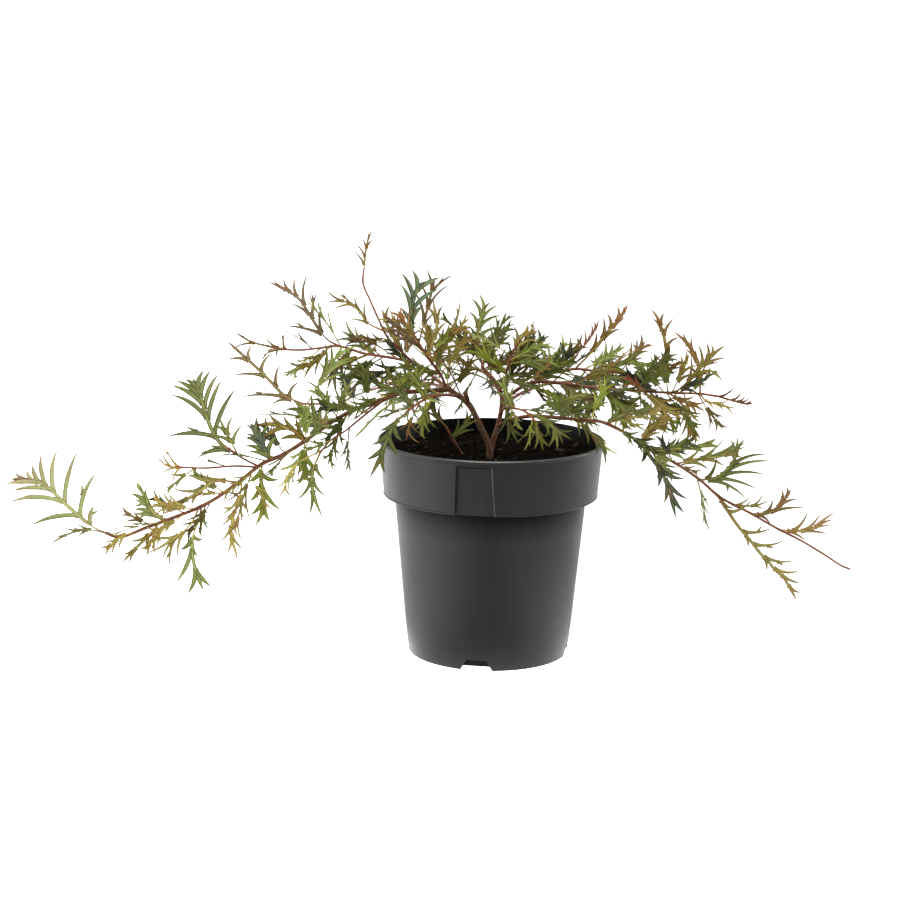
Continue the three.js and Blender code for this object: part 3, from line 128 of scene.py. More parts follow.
# Each stem: its name, its node, its radius at its start and end in mm, and its route as x, y, toward.
STEMS = [
    ("left_fork", "woody_stems", 4.2, 2.9,
     [(491, 500, 16), (491, 478, 16), (490, 462, 16), (489, 446, 16), (483, 432, 14), (477, 419, 12),
      (470, 406, 10), (463, 399, 8), (454, 393, 6), (445, 386, 4)]),
    ("left_stub", "woody_stems", 2.4, 2.2,
     [(468, 404, 10), (467, 398, 14), (465, 393, 17)]),
    ("right_fork", "woody_stems", 3.0, 2.0,
     [(490, 455, 16), (494, 438, 13), (498, 425, 10), (501, 411, 6), (502, 400, 2), (500, 390, -2),
      (494, 380, -5), (488, 374, -8), (482, 367, -10)]),
    ("thin_stem", "thin_stem", 1.4, 1.0,
     [(468, 484, 8), (468, 466, 8), (463, 456, 10), (455, 443, 14), (446, 427, 16)]),
    ("left_low_limb", "left_low_spray", 2.6, 1.4,
     [(449, 389, 5), (438, 390, 9), (425, 391, 14), (402, 393, 21), (380, 401, 26), (352, 411, 31),
      (330, 423, 37), (305, 441, 42), (282, 455, 46), (262, 464, 50), (240, 481, 54), (218, 497, 58),
      (198, 508, 60), (175, 517, 62), (148, 527, 64), (119, 537, 66), (106, 533, 67)]),
    ("left_leaf_stalk", "left_low_spray", 0.9, 0.8,
     [(258, 466, 50), (244, 459, 46), (226, 447, 42)]),
    ("left_side_stalk", "left_low_spray", 0.9, 0.7,
     [(256, 467, 51), (235, 466, 56), (205, 468, 62), (176, 467, 67)]),
    ("left_mid_stalk", "left_low_spray", 1.0, 0.8,
     [(354, 410, 31), (340, 407, 24), (320, 404, 16), (302, 404, 10)]),
    ("left_under_stem", "left_low_spray", 1.1, 0.8,
     [(384, 400, 26), (366, 414, 40), (345, 431, 50), (330, 441, 56), (320, 453, 60)]),
    ("left_upper_limb", "left_upper_spray", 2.1, 0.8,
     [(449, 388, 4), (438, 381, -6), (427, 372, -14), (415, 364, -20), (398, 359, -26), (380, 356, -32),
      (362, 353, -38), (350, 349, -42), (337, 346, -46), (320, 348, -50), (300, 350, -54),
      (282, 349, -58), (266, 346, -62)]),
    ("tall_stem", "tall_shoot", 1.1, 0.6,
     [(413, 363, -20), (400, 350, -8), (388, 338, -4), (378, 318, -6), (370, 300, -10), (363, 283, -14),
      (364, 268, -17)]),
    ("crown_left_stem", "crown_left", 1.6, 1.0,
     [(445, 385, 4), (441, 375, 16), (431, 362, 26), (422, 348, 30), (413, 334, 32)]),
    ("crown_middle_stem", "crown_middle", 1.6, 0.9,
     [(484, 370, -9), (481, 360, -14), (479, 350, -18), (478, 338, -22)]),
    ("crown_right_stem", "crown_right", 1.5, 0.9,
     [(500, 390, -2), (505, 380, 10), (508, 366, 20), (513, 352, 27), (520, 340, 32)]),
    ("front_stem", "front_shoot", 1.2, 0.8,
     [(500, 414, 8), (505, 408, 26), (513, 408, 44), (526, 412, 60), (536, 422, 72)]),
    ("right_upper_limb", "right_upper_spray", 1.9, 1.0,
     [(496, 383, -4), (507, 377, -16), (522, 374, -26), (540, 373, -34), (558, 372, -41), (575, 369, -48),
      (595, 371, -55), (618, 373, -62), (640, 376, -68), (656, 380, -72)]),
    ("right_middle_limb", "right_middle_spray", 2.1, 0.8,
     [(502, 402, 3), (509, 396, 2), (520, 388, 2), (536, 382, 2), (560, 383, 0), (580, 386, -2),
      (604, 389, -5), (630, 390, -8), (654, 392, -12), (678, 393, -16), (702, 394, -20), (722, 397, -24)]),
    ("right_low_limb", "right_low_spray", 2.0, 0.8,
     [(498, 426, 10), (506, 422, 20), (518, 418, 30), (535, 416, 40), (560, 418, 50), (585, 420, 58),
      (602, 422, 63), (618, 429, 68), (636, 440, 72), (655, 452, 75), (680, 466, 78), (700, 480, 80),
      (720, 497, 82), (750, 513, 84), (780, 530, 86), (800, 540, 87), (825, 555, 88), (842, 566, 88),
      (850, 569, 88)]),
    ("back_left_limb", "back_left_spray", 1.8, 1.0,
     [(470, 405, 10), (462, 398, -10), (450, 390, -34), (432, 384, -62), (408, 382, -90),
      (384, 386, -112), (366, 392, -128)]),
    ("back_right_limb", "back_right_spray", 1.8, 1.0,
     [(501, 410, 5), (508, 402, -18), (524, 392, -46), (548, 384, -76), (576, 382, -104),
      (604, 386, -126)]),
    ("back_middle_limb", "back_middle_spray", 1.6, 0.9,
     [(501, 396, 0), (496, 386, -24), (488, 376, -52), (478, 370, -82), (468, 370, -112)]),
    ("front_left_limb", "front_left_spray", 1.6, 0.9,
     [(459, 396, 7), (448, 395, 30), (434, 396, 54), (420, 402, 76), (408, 411, 92)]),
]

# Stems that are thinner than their row above gives: the radius at their start and end, in mm.
GIRTHS = {
    "left_fork": (3.4, 2.5),
    "left_stub": (2.1, 1.9),
    "right_fork": (2.6, 1.7),
    "left_low_limb": (2.1, 1.5),
    "left_leaf_stalk": (1.05, 0.95),
    "left_side_stalk": (1.05, 0.85),
    "left_mid_stalk": (1.05, 0.9),
    "left_under_stem": (1.15, 0.75),
    "left_upper_limb": (1.6, 0.95),
    "tall_stem": (1.15, 0.85),
    "crown_left_stem": (1.35, 0.8),
    "crown_middle_stem": (1.3, 0.75),
    "crown_right_stem": (1.25, 0.75),
    "right_upper_limb": (1.6, 0.85),
    "right_middle_limb": (1.8, 0.9),
    "right_low_limb": (1.75, 0.85),
}

# Each leaf: its colouring and lightness mark (partly painted light and shade), its stem, how far it leans to
# the eye along its rib and across it, the width of its lobes in mm, the rib's points, and its lobes as tip, or
# as tip, root, and the tips of its side teeth.
LEAVES = [
    ("far", "left_low_limb", 0.25, 0.5, 1.8, [(108, 534), (93, 527), (78, 515), (60, 499), (49, 488),
     (40, 483), (26, 480), (10, 479)], [(15, 473, 24, 479), (27, 470, 29, 480), (33, 465, 35, 481),
     (41, 455, 42, 483), (58, 450, 51, 489), (78, 451, 62, 499, 70, 467), (97, 473, 77, 513, 82, 482),
     (94, 506, 88, 521, 100, 510), (6, 484, 33, 482), (13, 491, 46, 488), (9, 504, 59, 499, 24, 496),
     (32, 526, 75, 513, 41, 519)]),
    ("far", "left_low_limb", 0.8, -0.4, 1.6, [(110, 535), (92, 530), (78, 531), (64, 536), (47, 546)],
     [(64, 527), (76, 523), (78, 538), (55, 535), (72, 527)]),
    ("green+", "left_low_limb", -0.5, 0.6, 3.2, [(168, 521), (156, 515), (149, 505), (144, 495),
     (136, 482)], [(141, 486), (146, 489, 151, 508), (131, 494), (134, 500, 148, 510, 133, 507),
     (133, 515, 155, 516, 138, 520), (134, 510, 151, 512)]),
    ("olive+", "left_low_limb", 0.7, 0.3, 1.8, [(160, 524), (145, 539), (132, 552), (121, 564)],
     [(128, 540), (123, 554), (129, 564, 134, 550), (146, 550)]),
    ("gold", "left_low_limb", 0.5, -0.6, 2.0, [(200, 509), (190, 525), (170, 541), (155, 550),
     (143, 554)], [(151, 536, 173, 540), (170, 566, 173, 541, 165, 560), (178, 558, 181, 534), (163, 562)]),
    ("green+", "left_low_limb", -0.4, 0.5, 3.0, [(202, 508), (199, 520), (193, 535), (192, 548),
     (195, 568), (204, 592)], [(176, 582, 193, 553), (187, 593, 196, 572), (211, 586, 197, 572),
     (180, 549, 193, 542), (198, 556, 192, 548), (203, 539, 193, 540)]),
    ("olive", "left_low_limb", 0.35, 0.6, 2.6, [(238, 482), (215, 481), (200, 491), (186, 500),
     (175, 508), (160, 515)], [(188, 472, 212, 483), (174, 488, 200, 493), (163, 503, 184, 500),
     (165, 509, 178, 506), (192, 505, 196, 494), (201, 474, 222, 480)]),
    ("amber+", "left_side_stalk", 0.3, -0.7, 1.3, [(180, 467), (172, 467), (164, 464), (160, 460),
     (154, 465)], [(166, 447, 176, 467, 162, 450), (161, 474, 176, 468), (173, 486, 180, 468),
     (162, 451, 168, 466)]),
    ("green-", "left_leaf_stalk", -0.35, 0.45, 3.6, [(232, 452), (222, 445), (213, 432), (207, 418),
     (203, 405), (199, 393), (193, 378)], [(185, 380, 197, 386), (177, 381, 199, 390),
     (171, 386, 202, 400), (171, 396, 206, 414), (169, 437, 214, 433, 185, 426),
     (199, 458, 226, 449, 209, 445, 200, 453), (204, 371, 197, 387), (211, 371, 199, 394),
     (219, 374, 203, 405), (222, 380, 206, 416), (235, 390, 214, 429)]),
    ("green", "left_leaf_stalk", 0.5, 0.3, 2.4, [(238, 455), (228, 436), (222, 424), (219, 416)],
     [(243, 425, 232, 440), (206, 436, 228, 438), (213, 426, 224, 430), (234, 416, 226, 432)]),
    ("umber+", "left_mid_stalk", -0.5, 0.5, 2.4, [(304, 405), (285, 396), (272, 383), (257, 368),
     (245, 357), (226, 340)], [(252, 345, 246, 357), (272, 353, 258, 369), (281, 364, 273, 385),
     (227, 360, 246, 358), (233, 376, 262, 374), (240, 398, 284, 395, 253, 391), (272, 405, 288, 397),
     (236, 351), (300, 382, 286, 396)]),
    ("green", "left_low_limb", 0.6, 0.4, 3.4, [(272, 459), (262, 445), (258, 432), (256, 417)],
     [(250, 424), (268, 424, 262, 442), (246, 437, 264, 449), (276, 437, 266, 450), (250, 452),
     (246, 446)]),
    ("green+", "left_low_limb", -0.5, -0.5, 3.4, [(322, 428), (314, 418), (304, 410), (293, 400)],
     [(296, 418), (312, 396), (298, 428, 316, 422), (322, 404), (286, 410)]),
    ("olive++", "left_low_limb", 0.7, -0.5, 3.0, [(305, 441), (296, 432), (284, 427), (270, 424),
     (256, 424)], [(284, 416), (270, 414), (280, 440), (266, 436), (296, 418)]),
    ("fresh+", "left_low_limb", 0.4, 0.5, 3.2, [(262, 464), (261, 478), (263, 496), (262, 512),
     (255, 527)], [(280, 509, 263, 492), (250, 501, 262, 488), (270, 521, 263, 505), (251, 514, 262, 503),
     (278, 479, 262, 478), (248, 481, 262, 474)]),
    ("gold+", "left_low_limb", -0.5, 0.5, 1.8, [(242, 480), (240, 496), (233, 518), (231, 535),
     (236, 553), (238, 563)], [(220, 514, 239, 500, 221, 507), (221, 526, 234, 514), (240, 537, 232, 522),
     (220, 541, 231, 529), (243, 549, 232, 536), (227, 553, 232, 541), (250, 511, 239, 498)]),
    ("green", "left_under_stem", 0.4, -0.5, 2.6, [(320, 453), (313, 470), (312, 485), (315, 499),
     (323, 519)], [(309, 514, 314, 494), (294, 481, 312, 472), (325, 480, 313, 468), (297, 499, 312, 482),
     (325, 495, 313, 482)]),
    ("gold+", "left_under_stem", -0.7, 0.4, 1.4, [(322, 450), (300, 462), (288, 475), (286, 490),
     (292, 497)], [(275, 489, 287, 478), (277, 498, 286, 488), (274, 470, 298, 465), (295, 484)]),
    ("rust--", "left_upper_limb", -0.4, 0.5, 2.0, [(340, 346), (328, 340), (318, 328), (308, 312),
     (300, 300), (291, 293), (280, 287), (267, 281)], [(274, 280, 283, 289), (284, 278, 287, 291),
     (295, 278, 294, 295), (309, 273, 302, 303), (317, 293, 311, 316, 311, 292),
     (322, 305, 320, 330, 318, 312), (291, 304, 308, 312), (283, 326, 321, 331, 295, 321)]),
    ("rust++", "left_upper_limb", 0.5, 0.4, 1.5, [(285, 349), (268, 346), (252, 342), (233, 331)],
     [(243, 335), (265, 335, 276, 348), (286, 330, 288, 349, 282, 335), (267, 354, 280, 349, 275, 361),
     (232, 350, 252, 343)]),
    ("green--", "left_upper_limb", 0.6, -0.5, 2.4, [(350, 349), (340, 362), (332, 376), (327, 390)],
     [(322, 372), (316, 386), (345, 384), (338, 397), (350, 372)]),
    ("green", "left_upper_limb", -0.6, 0.5, 2.4, [(372, 355), (362, 344), (350, 336), (340, 330)],
     [(356, 326), (346, 320), (336, 341), (368, 332), (345, 347)]),
    ("olive++", "left_upper_limb", 0.5, 0.6, 2.4, [(330, 347), (318, 358), (306, 366), (292, 372)],
     [(300, 356), (316, 376), (304, 380), (288, 362)]),
    ("bronze", "tall_stem", -0.3, 0.5, 1.0, [(363, 280), (364, 268), (366, 250), (368, 240), (372, 230)],
     [(352, 251, 364, 263), (355, 243, 365, 255), (362, 238, 367, 247), (368, 233), (374, 240)]),
    ("gold", "tall_stem", 0.4, -0.5, 1.6, [(384, 331), (368, 323), (360, 312), (350, 303), (338, 301),
     (326, 302)], [(326, 288, 341, 302), (342, 290, 352, 306, 338, 294), (354, 296, 359, 312),
     (365, 302, 364, 318), (333, 310, 349, 304), (350, 320, 366, 322)]),
    ("olive+", "tall_stem", -0.2, 0.4, 2.2, [(398, 349), (392, 334), (386, 322), (382, 308)], [(378, 326),
     (396, 316), (402, 328), (380, 338), (390, 306)]),
    ("dark++", "crown_left_stem", 0.3, 0.4, 3.0, [(414, 336), (411, 318), (413, 302), (418, 289),
     (425, 281)], [(400, 285, 411, 310), (402, 274, 414, 296), (412, 271, 419, 288),
     (439, 278, 421, 288, 430, 279), (438, 290, 413, 308), (400, 308), (424, 306)]),
    ("umber--", "crown_left_stem", -0.6, 0.4, 2.6, [(418, 342), (406, 336), (396, 326), (383, 315)],
     [(388, 330), (398, 314), (410, 324), (396, 340), (384, 322)]),
    ("olive", "crown_left_stem", 0.6, 0.5, 2.2, [(428, 357), (433, 341), (437, 326), (435, 312),
     (433, 297)], [(425, 306, 436, 318), (443, 306, 437, 320), (424, 322), (447, 322), (424, 336)]),
    ("olive+", "crown_left_stem", 0.3, -0.5, 2.4, [(431, 361), (442, 348), (452, 336), (461, 328),
     (471, 328)], [(460, 301, 453, 335, 456, 308), (466, 314, 458, 331), (470, 318), (474, 340, 464, 330),
     (442, 330), (462, 345), (450, 356)]),
    ("green+", "crown_left_stem", 0.8, 0.4, 2.4, [(437, 373), (424, 370), (410, 368), (396, 362)],
     [(412, 356), (400, 352), (422, 382), (406, 380), (392, 370)]),
    ("green+", "crown_middle_stem", -0.3, 0.5, 2.6, [(478, 344), (478, 330), (481, 318), (484, 306),
     (479, 293)], [(472, 299, 483, 312), (469, 312, 480, 324), (490, 303, 484, 309), (497, 306, 482, 318),
     (500, 316, 480, 324), (468, 326), (500, 328, 478, 334)]),
    ("green++", "crown_middle_stem", 0.7, -0.5, 2.2, [(480, 355), (468, 347), (458, 342), (446, 340)],
     [(458, 330), (470, 334), (460, 354), (448, 350)]),
    ("green++", "crown_middle_stem", -0.7, 0.5, 2.2, [(480, 354), (490, 346), (500, 342), (512, 334)],
     [(496, 330), (506, 326), (500, 352), (512, 346)]),
    ("olive++", "crown_right_stem", 0.3, 0.5, 2.0, [(516, 347), (520, 338), (526, 331), (528, 324)],
     [(514, 327), (536, 331, 524, 336), (538, 340), (512, 336)]),
    ("green++", "crown_right_stem", 0.6, -0.5, 2.0, [(510, 360), (526, 352), (542, 345), (558, 350)],
     [(541, 334), (546, 339), (536, 358), (548, 358), (528, 340)]),
    ("fresh++", "crown_right_stem", 0.5, 0.6, 2.6, [(507, 372), (494, 362), (484, 354), (474, 344)],
     [(484, 342), (494, 348), (474, 358), (486, 370), (464, 352)]),
    ("green", "crown_right_stem", 0.8, -0.4, 2.6, [(506, 378), (520, 382), (534, 386), (550, 384)],
     [(536, 374), (524, 370), (530, 396), (544, 394)]),
    ("fresh--", "front_stem", 0.5, 0.4, 2.0, [(536, 422), (537, 432), (541, 440), (543, 452)],
     [(530, 440), (546, 436), (534, 449), (550, 446)]),
    ("fresh--", "front_stem", 0.7, -0.5, 2.0, [(528, 413), (542, 418), (552, 426), (557, 440),
     (557, 450)], [(546, 436), (566, 436), (560, 420), (548, 446)]),
    ("pale+", "front_stem", 0.4, 0.5, 2.4, [(514, 408), (508, 398), (504, 388), (494, 378)], [(496, 392),
     (514, 386), (498, 402), (504, 374)]),
    ("green--", "front_stem", 0.9, -0.3, 2.2, [(508, 411), (508, 422), (513, 433), (518, 443)],
     [(499, 432), (518, 424), (506, 443), (526, 436)]),
    ("bronze++", "right_upper_limb", 0.4, 0.5, 2.6, [(575, 369), (586, 358), (597, 346), (606, 334),
     (615, 324), (622, 315), (628, 304)], [(596, 333, 595, 349), (603, 318, 605, 336),
     (607, 314, 613, 326), (618, 307, 620, 319), (624, 306, 624, 314), (620, 329, 606, 337),
     (625, 318, 616, 325)]),
    ("pale++", "right_upper_limb", -0.5, 0.4, 2.2, [(584, 369), (598, 362), (610, 356), (619, 350),
     (626, 346)], [(605, 341, 606, 358), (612, 344, 612, 356), (621, 342, 618, 352), (624, 358),
     (612, 366), (603, 350)]),
    ("dark+", "right_upper_limb", 0.6, -0.6, 2.8, [(556, 372), (564, 360), (570, 352), (572, 342)],
     [(560, 342), (580, 350), (554, 352), (578, 362), (552, 360)]),
    ("red-", "right_upper_limb", -0.7, 0.3, 1.0, [(566, 370), (574, 358), (583, 347), (590, 338),
     (596, 328), (599, 319)], [(584, 330, 587, 343), (591, 324, 594, 334), (594, 322), (589, 334),
     (576, 338, 584, 348)]),
    ("green++", "right_upper_limb", -0.4, 0.6, 3.0, [(600, 371), (616, 366), (632, 362), (650, 366),
     (659, 366)], [(637, 358), (640, 349), (656, 360), (645, 374), (628, 374), (622, 355)]),
    ("bronze++", "right_upper_limb", 0.3, 0.4, 2.0, [(653, 379), (662, 369), (666, 355), (665, 342),
     (662, 330), (658, 319), (651, 308)], [(653, 319, 661, 328), (664, 313, 660, 322),
     (674, 319, 664, 332), (679, 338, 667, 344), (671, 345, 667, 354), (678, 355, 666, 358)]),
    ("bronze+", "right_middle_limb", -0.4, 0.5, 2.0, [(700, 394), (700, 378), (697, 362), (691, 350),
     (684, 340), (673, 331)], [(684, 333, 686, 343), (692, 338, 691, 352), (696, 350, 696, 360),
     (685, 350, 694, 358), (706, 366), (688, 366)]),
    ("olive+", "right_middle_limb", 0.5, 0.4, 2.2, [(680, 393), (690, 379), (700, 368), (710, 358),
     (717, 351), (726, 345)], [(698, 345, 704, 363), (706, 343, 710, 358), (711, 345, 714, 354),
     (726, 358, 706, 364), (720, 373, 698, 373, 723, 381), (706, 387, 692, 383)]),
    ("red-", "right_middle_limb", 0.3, -0.4, 1.1, [(716, 396), (727, 399), (738, 402), (747, 404),
     (753, 403)], [(735, 387, 722, 398, 729, 390), (741, 391, 734, 401), (745, 396, 740, 403), (749, 398),
     (752, 400)]),
    ("gold++", "right_middle_limb", 0.7, 0.3, 1.3, [(700, 394), (706, 401), (718, 404), (728, 408),
     (734, 417)], [(738, 408), (723, 411), (714, 410), (729, 399)]),
    ("olive--", "right_middle_limb", 0.6, 0.5, 2.8, [(560, 383), (572, 392), (586, 398), (602, 402)],
     [(584, 386), (572, 404), (598, 392), (588, 410), (600, 412)]),
    ("green-", "right_middle_limb", 0.4, -0.6, 2.8, [(600, 389), (614, 398), (626, 404), (642, 406)],
     [(626, 392), (614, 410), (640, 396), (630, 416), (602, 404)]),
    ("olive++", "right_middle_limb", 0.6, 0.4, 2.6, [(642, 391), (656, 400), (668, 410), (684, 420)],
     [(672, 400), (656, 414), (680, 408), (668, 422), (690, 412)]),
    ("green+", "right_middle_limb", -0.6, -0.4, 2.6, [(622, 390), (632, 380), (642, 374), (656, 370)],
     [(640, 364), (630, 370), (652, 382), (660, 376)]),
    ("bronze+", "right_middle_limb", 0.8, -0.3, 2.2, [(668, 392), (680, 400), (692, 404), (706, 412)],
     [(694, 396), (684, 410), (704, 402), (696, 416)]),
    ("green++", "right_middle_limb", 0.7, 0.5, 2.6, [(534, 382), (546, 374), (556, 366), (570, 360)],
     [(550, 360), (560, 354), (562, 374), (572, 368)]),
    ("green", "right_low_limb", -0.3, 0.5, 2.6, [(700, 480), (716, 478), (727, 470), (734, 460),
     (737, 446), (738, 436)], [(730, 440, 736, 454), (745, 440, 737, 452), (766, 455, 733, 462),
     (772, 462, 730, 467), (756, 489, 720, 476, 744, 484), (745, 499, 712, 479, 728, 493), (716, 458),
     (764, 475, 724, 473)]),
    ("green+", "right_low_limb", 0.4, 0.5, 3.2, [(655, 452), (675, 449), (695, 447), (709, 443),
     (717, 438)], [(704, 452), (718, 447, 703, 446), (690, 434), (676, 438), (684, 460), (668, 462)]),
    ("olive+", "right_low_limb", -0.6, -0.4, 2.6, [(676, 464), (700, 459), (720, 456), (735, 450),
     (746, 447)], [(716, 446), (735, 441), (724, 466), (708, 470), (742, 458), (700, 448)]),
    ("dark-", "right_low_limb", 0.6, 0.4, 3.0, [(636, 440), (650, 456), (660, 470), (668, 485),
     (672, 500), (676, 519)], [(684, 512, 671, 494), (687, 498, 668, 482), (684, 478, 662, 470),
     (658, 486), (664, 502, 668, 486), (641, 462, 648, 452)]),
    ("gold-", "right_low_limb", 0.4, -0.4, 1.9, [(716, 494), (727, 510), (738, 526), (750, 540),
     (760, 553), (768, 561), (775, 570), (783, 577), (790, 588), (797, 601)],
     [(751, 500, 730, 515, 742, 502), (771, 528, 745, 534, 762, 525), (783, 540, 755, 547, 775, 548),
     (793, 560, 766, 559, 785, 566), (799, 570, 776, 571), (800, 583, 783, 578), (800, 592, 790, 588),
     (734, 508, 722, 503), (748, 547), (766, 570)]),
    ("bronze-", "right_low_limb", 0.3, 0.6, 1.9, [(752, 514), (768, 513), (778, 507), (785, 499),
     (791, 489)], [(782, 490, 783, 501), (787, 487), (797, 500, 782, 503), (781, 496), (772, 499),
     (804, 508, 774, 511), (770, 524, 760, 514)]),
    ("bronze+", "right_low_limb", -0.4, 0.5, 1.7, [(780, 530), (798, 531), (812, 529), (822, 521),
     (836, 511)], [(833, 520, 818, 526), (830, 526, 812, 529), (827, 534, 804, 531), (820, 514, 808, 530),
     (807, 511, 796, 530), (805, 541, 790, 530)]),
    ("olive", "right_low_limb", 0.8, 0.3, 1.4, [(735, 505), (746, 506), (758, 505), (770, 500)],
     [(762, 494), (764, 510), (750, 497)]),
    ("green--", "right_low_limb", 0.9, -0.3, 2.4, [(578, 420), (590, 432), (600, 442), (608, 456)],
     [(605, 464, 602, 446), (588, 444), (606, 440), (596, 454)]),
    ("green", "right_low_limb", 0.4, 0.6, 2.8, [(560, 418), (574, 410), (588, 406), (604, 402)],
     [(586, 396), (600, 410), (574, 400), (590, 418)]),
    ("green-", "right_low_limb", 0.5, -0.5, 2.8, [(606, 424), (620, 416), (634, 412), (650, 412)],
     [(634, 402), (620, 406), (646, 420), (632, 424), (652, 404)]),
    ("olive+", "right_low_limb", -0.4, 0.5, 2.6, [(640, 443), (648, 430), (660, 424), (674, 424)],
     [(650, 418), (662, 414), (668, 434), (656, 440)]),
    ("green--", "right_low_limb", 0.9, 0.3, 2.4, [(535, 416), (548, 424), (560, 432), (572, 440)],
     [(560, 420), (550, 436), (572, 430), (562, 444)]),
    ("green-", "front_left_limb", 0.3, 0.5, 3.0, [(408, 411), (395, 424), (386, 442), (380, 458),
     (369, 479)], [(385, 472, 382, 454), (367, 459), (399, 456, 388, 440), (372, 444),
     (402, 440, 392, 428), (380, 430)]),
    ("green-", "front_left_limb", 0.5, -0.4, 2.8, [(414, 406), (402, 396), (390, 388), (376, 384)],
     [(392, 376), (402, 384), (388, 400), (376, 394), (406, 408)]),
    ("amber--", "front_left_limb", 0.4, 0.5, 1.2, [(420, 402), (414, 414), (409, 426), (406, 441)],
     [(420, 433, 410, 424), (419, 442, 407, 432), (398, 430)]),
    ("green--", "front_left_limb", 0.3, 0.4, 2.4, [(434, 396), (428, 408), (426, 420), (428, 434)],
     [(418, 418), (438, 416), (420, 430), (438, 428)]),
    ("fresh-", "front_left_limb", 0.4, 0.4, 2.6, [(426, 399), (420, 388), (416, 376), (418, 362)],
     [(408, 384), (430, 380), (406, 370), (428, 366)]),
    ("fresh--", "thin_stem", 0.6, 0.5, 2.0, [(452, 437), (460, 430), (468, 420), (474, 410)], [(458, 418),
     (474, 430), (466, 410), (480, 420)]),
    ("olive", "thin_stem", 0.5, -0.5, 2.2, [(446, 427), (440, 420), (434, 411), (430, 400)], [(426, 412),
     (440, 406), (426, 402), (434, 396)]),
]

# Plain leaves: the stem, where on it the leaf stands, its heading in degrees, its length in mm, and its two
# leans.
PLAIN_LEAVES = [
    ("left_low_limb", 390, 397, 128, 36, 0.5, 0.4),
    ("left_low_limb", 368, 405, 98, 34, 0.4, -0.5),
    ("left_low_limb", 352, 411, 222, 36, 0.6, 0.5),
    ("left_low_limb", 335, 420, 72, 34, 0.5, 0.5),
    ("left_low_limb", 302, 443, 40, 34, 0.5, 0.4),
    ("left_upper_limb", 404, 361, 80, 34, -0.5, 0.5),
    ("left_upper_limb", 378, 355, 215, 38, -0.5, 0.5),
    ("crown_left_stem", 433, 364, 205, 38, 0.5, -0.4),
    ("crown_left_stem", 426, 354, 40, 36, 0.6, 0.4),
    ("crown_middle_stem", 479, 348, 30, 34, -0.6, 0.4),
    ("crown_right_stem", 509, 364, 12, 40, 0.4, 0.5),
    ("right_upper_limb", 523, 374, 66, 40, -0.5, 0.5),
    ("right_upper_limb", 541, 373, 38, 44, -0.5, -0.5),
    ("right_upper_limb", 560, 372, -24, 40, -0.6, 0.4),
    ("right_upper_limb", 596, 371, -48, 38, -0.5, 0.5),
    ("right_upper_limb", 619, 373, 46, 36, -0.5, -0.4),
    ("right_middle_limb", 537, 382, -46, 40, 0.5, 0.5),
    ("right_middle_limb", 574, 385, 30, 40, 0.5, -0.5),
    ("right_middle_limb", 606, 389, -62, 40, 0.4, 0.5),
    ("right_middle_limb", 632, 390, 34, 38, 0.5, 0.5),
    ("right_middle_limb", 655, 392, -66, 40, 0.5, -0.5),
    ("right_low_limb", 548, 417, 36, 38, 0.5, 0.4),
    ("right_low_limb", 590, 420, 64, 36, 0.5, -0.5),
    ("right_low_limb", 624, 433, -30, 34, 0.6, 0.5),
    ("right_low_limb", 660, 455, 20, 34, 0.4, 0.5),
]

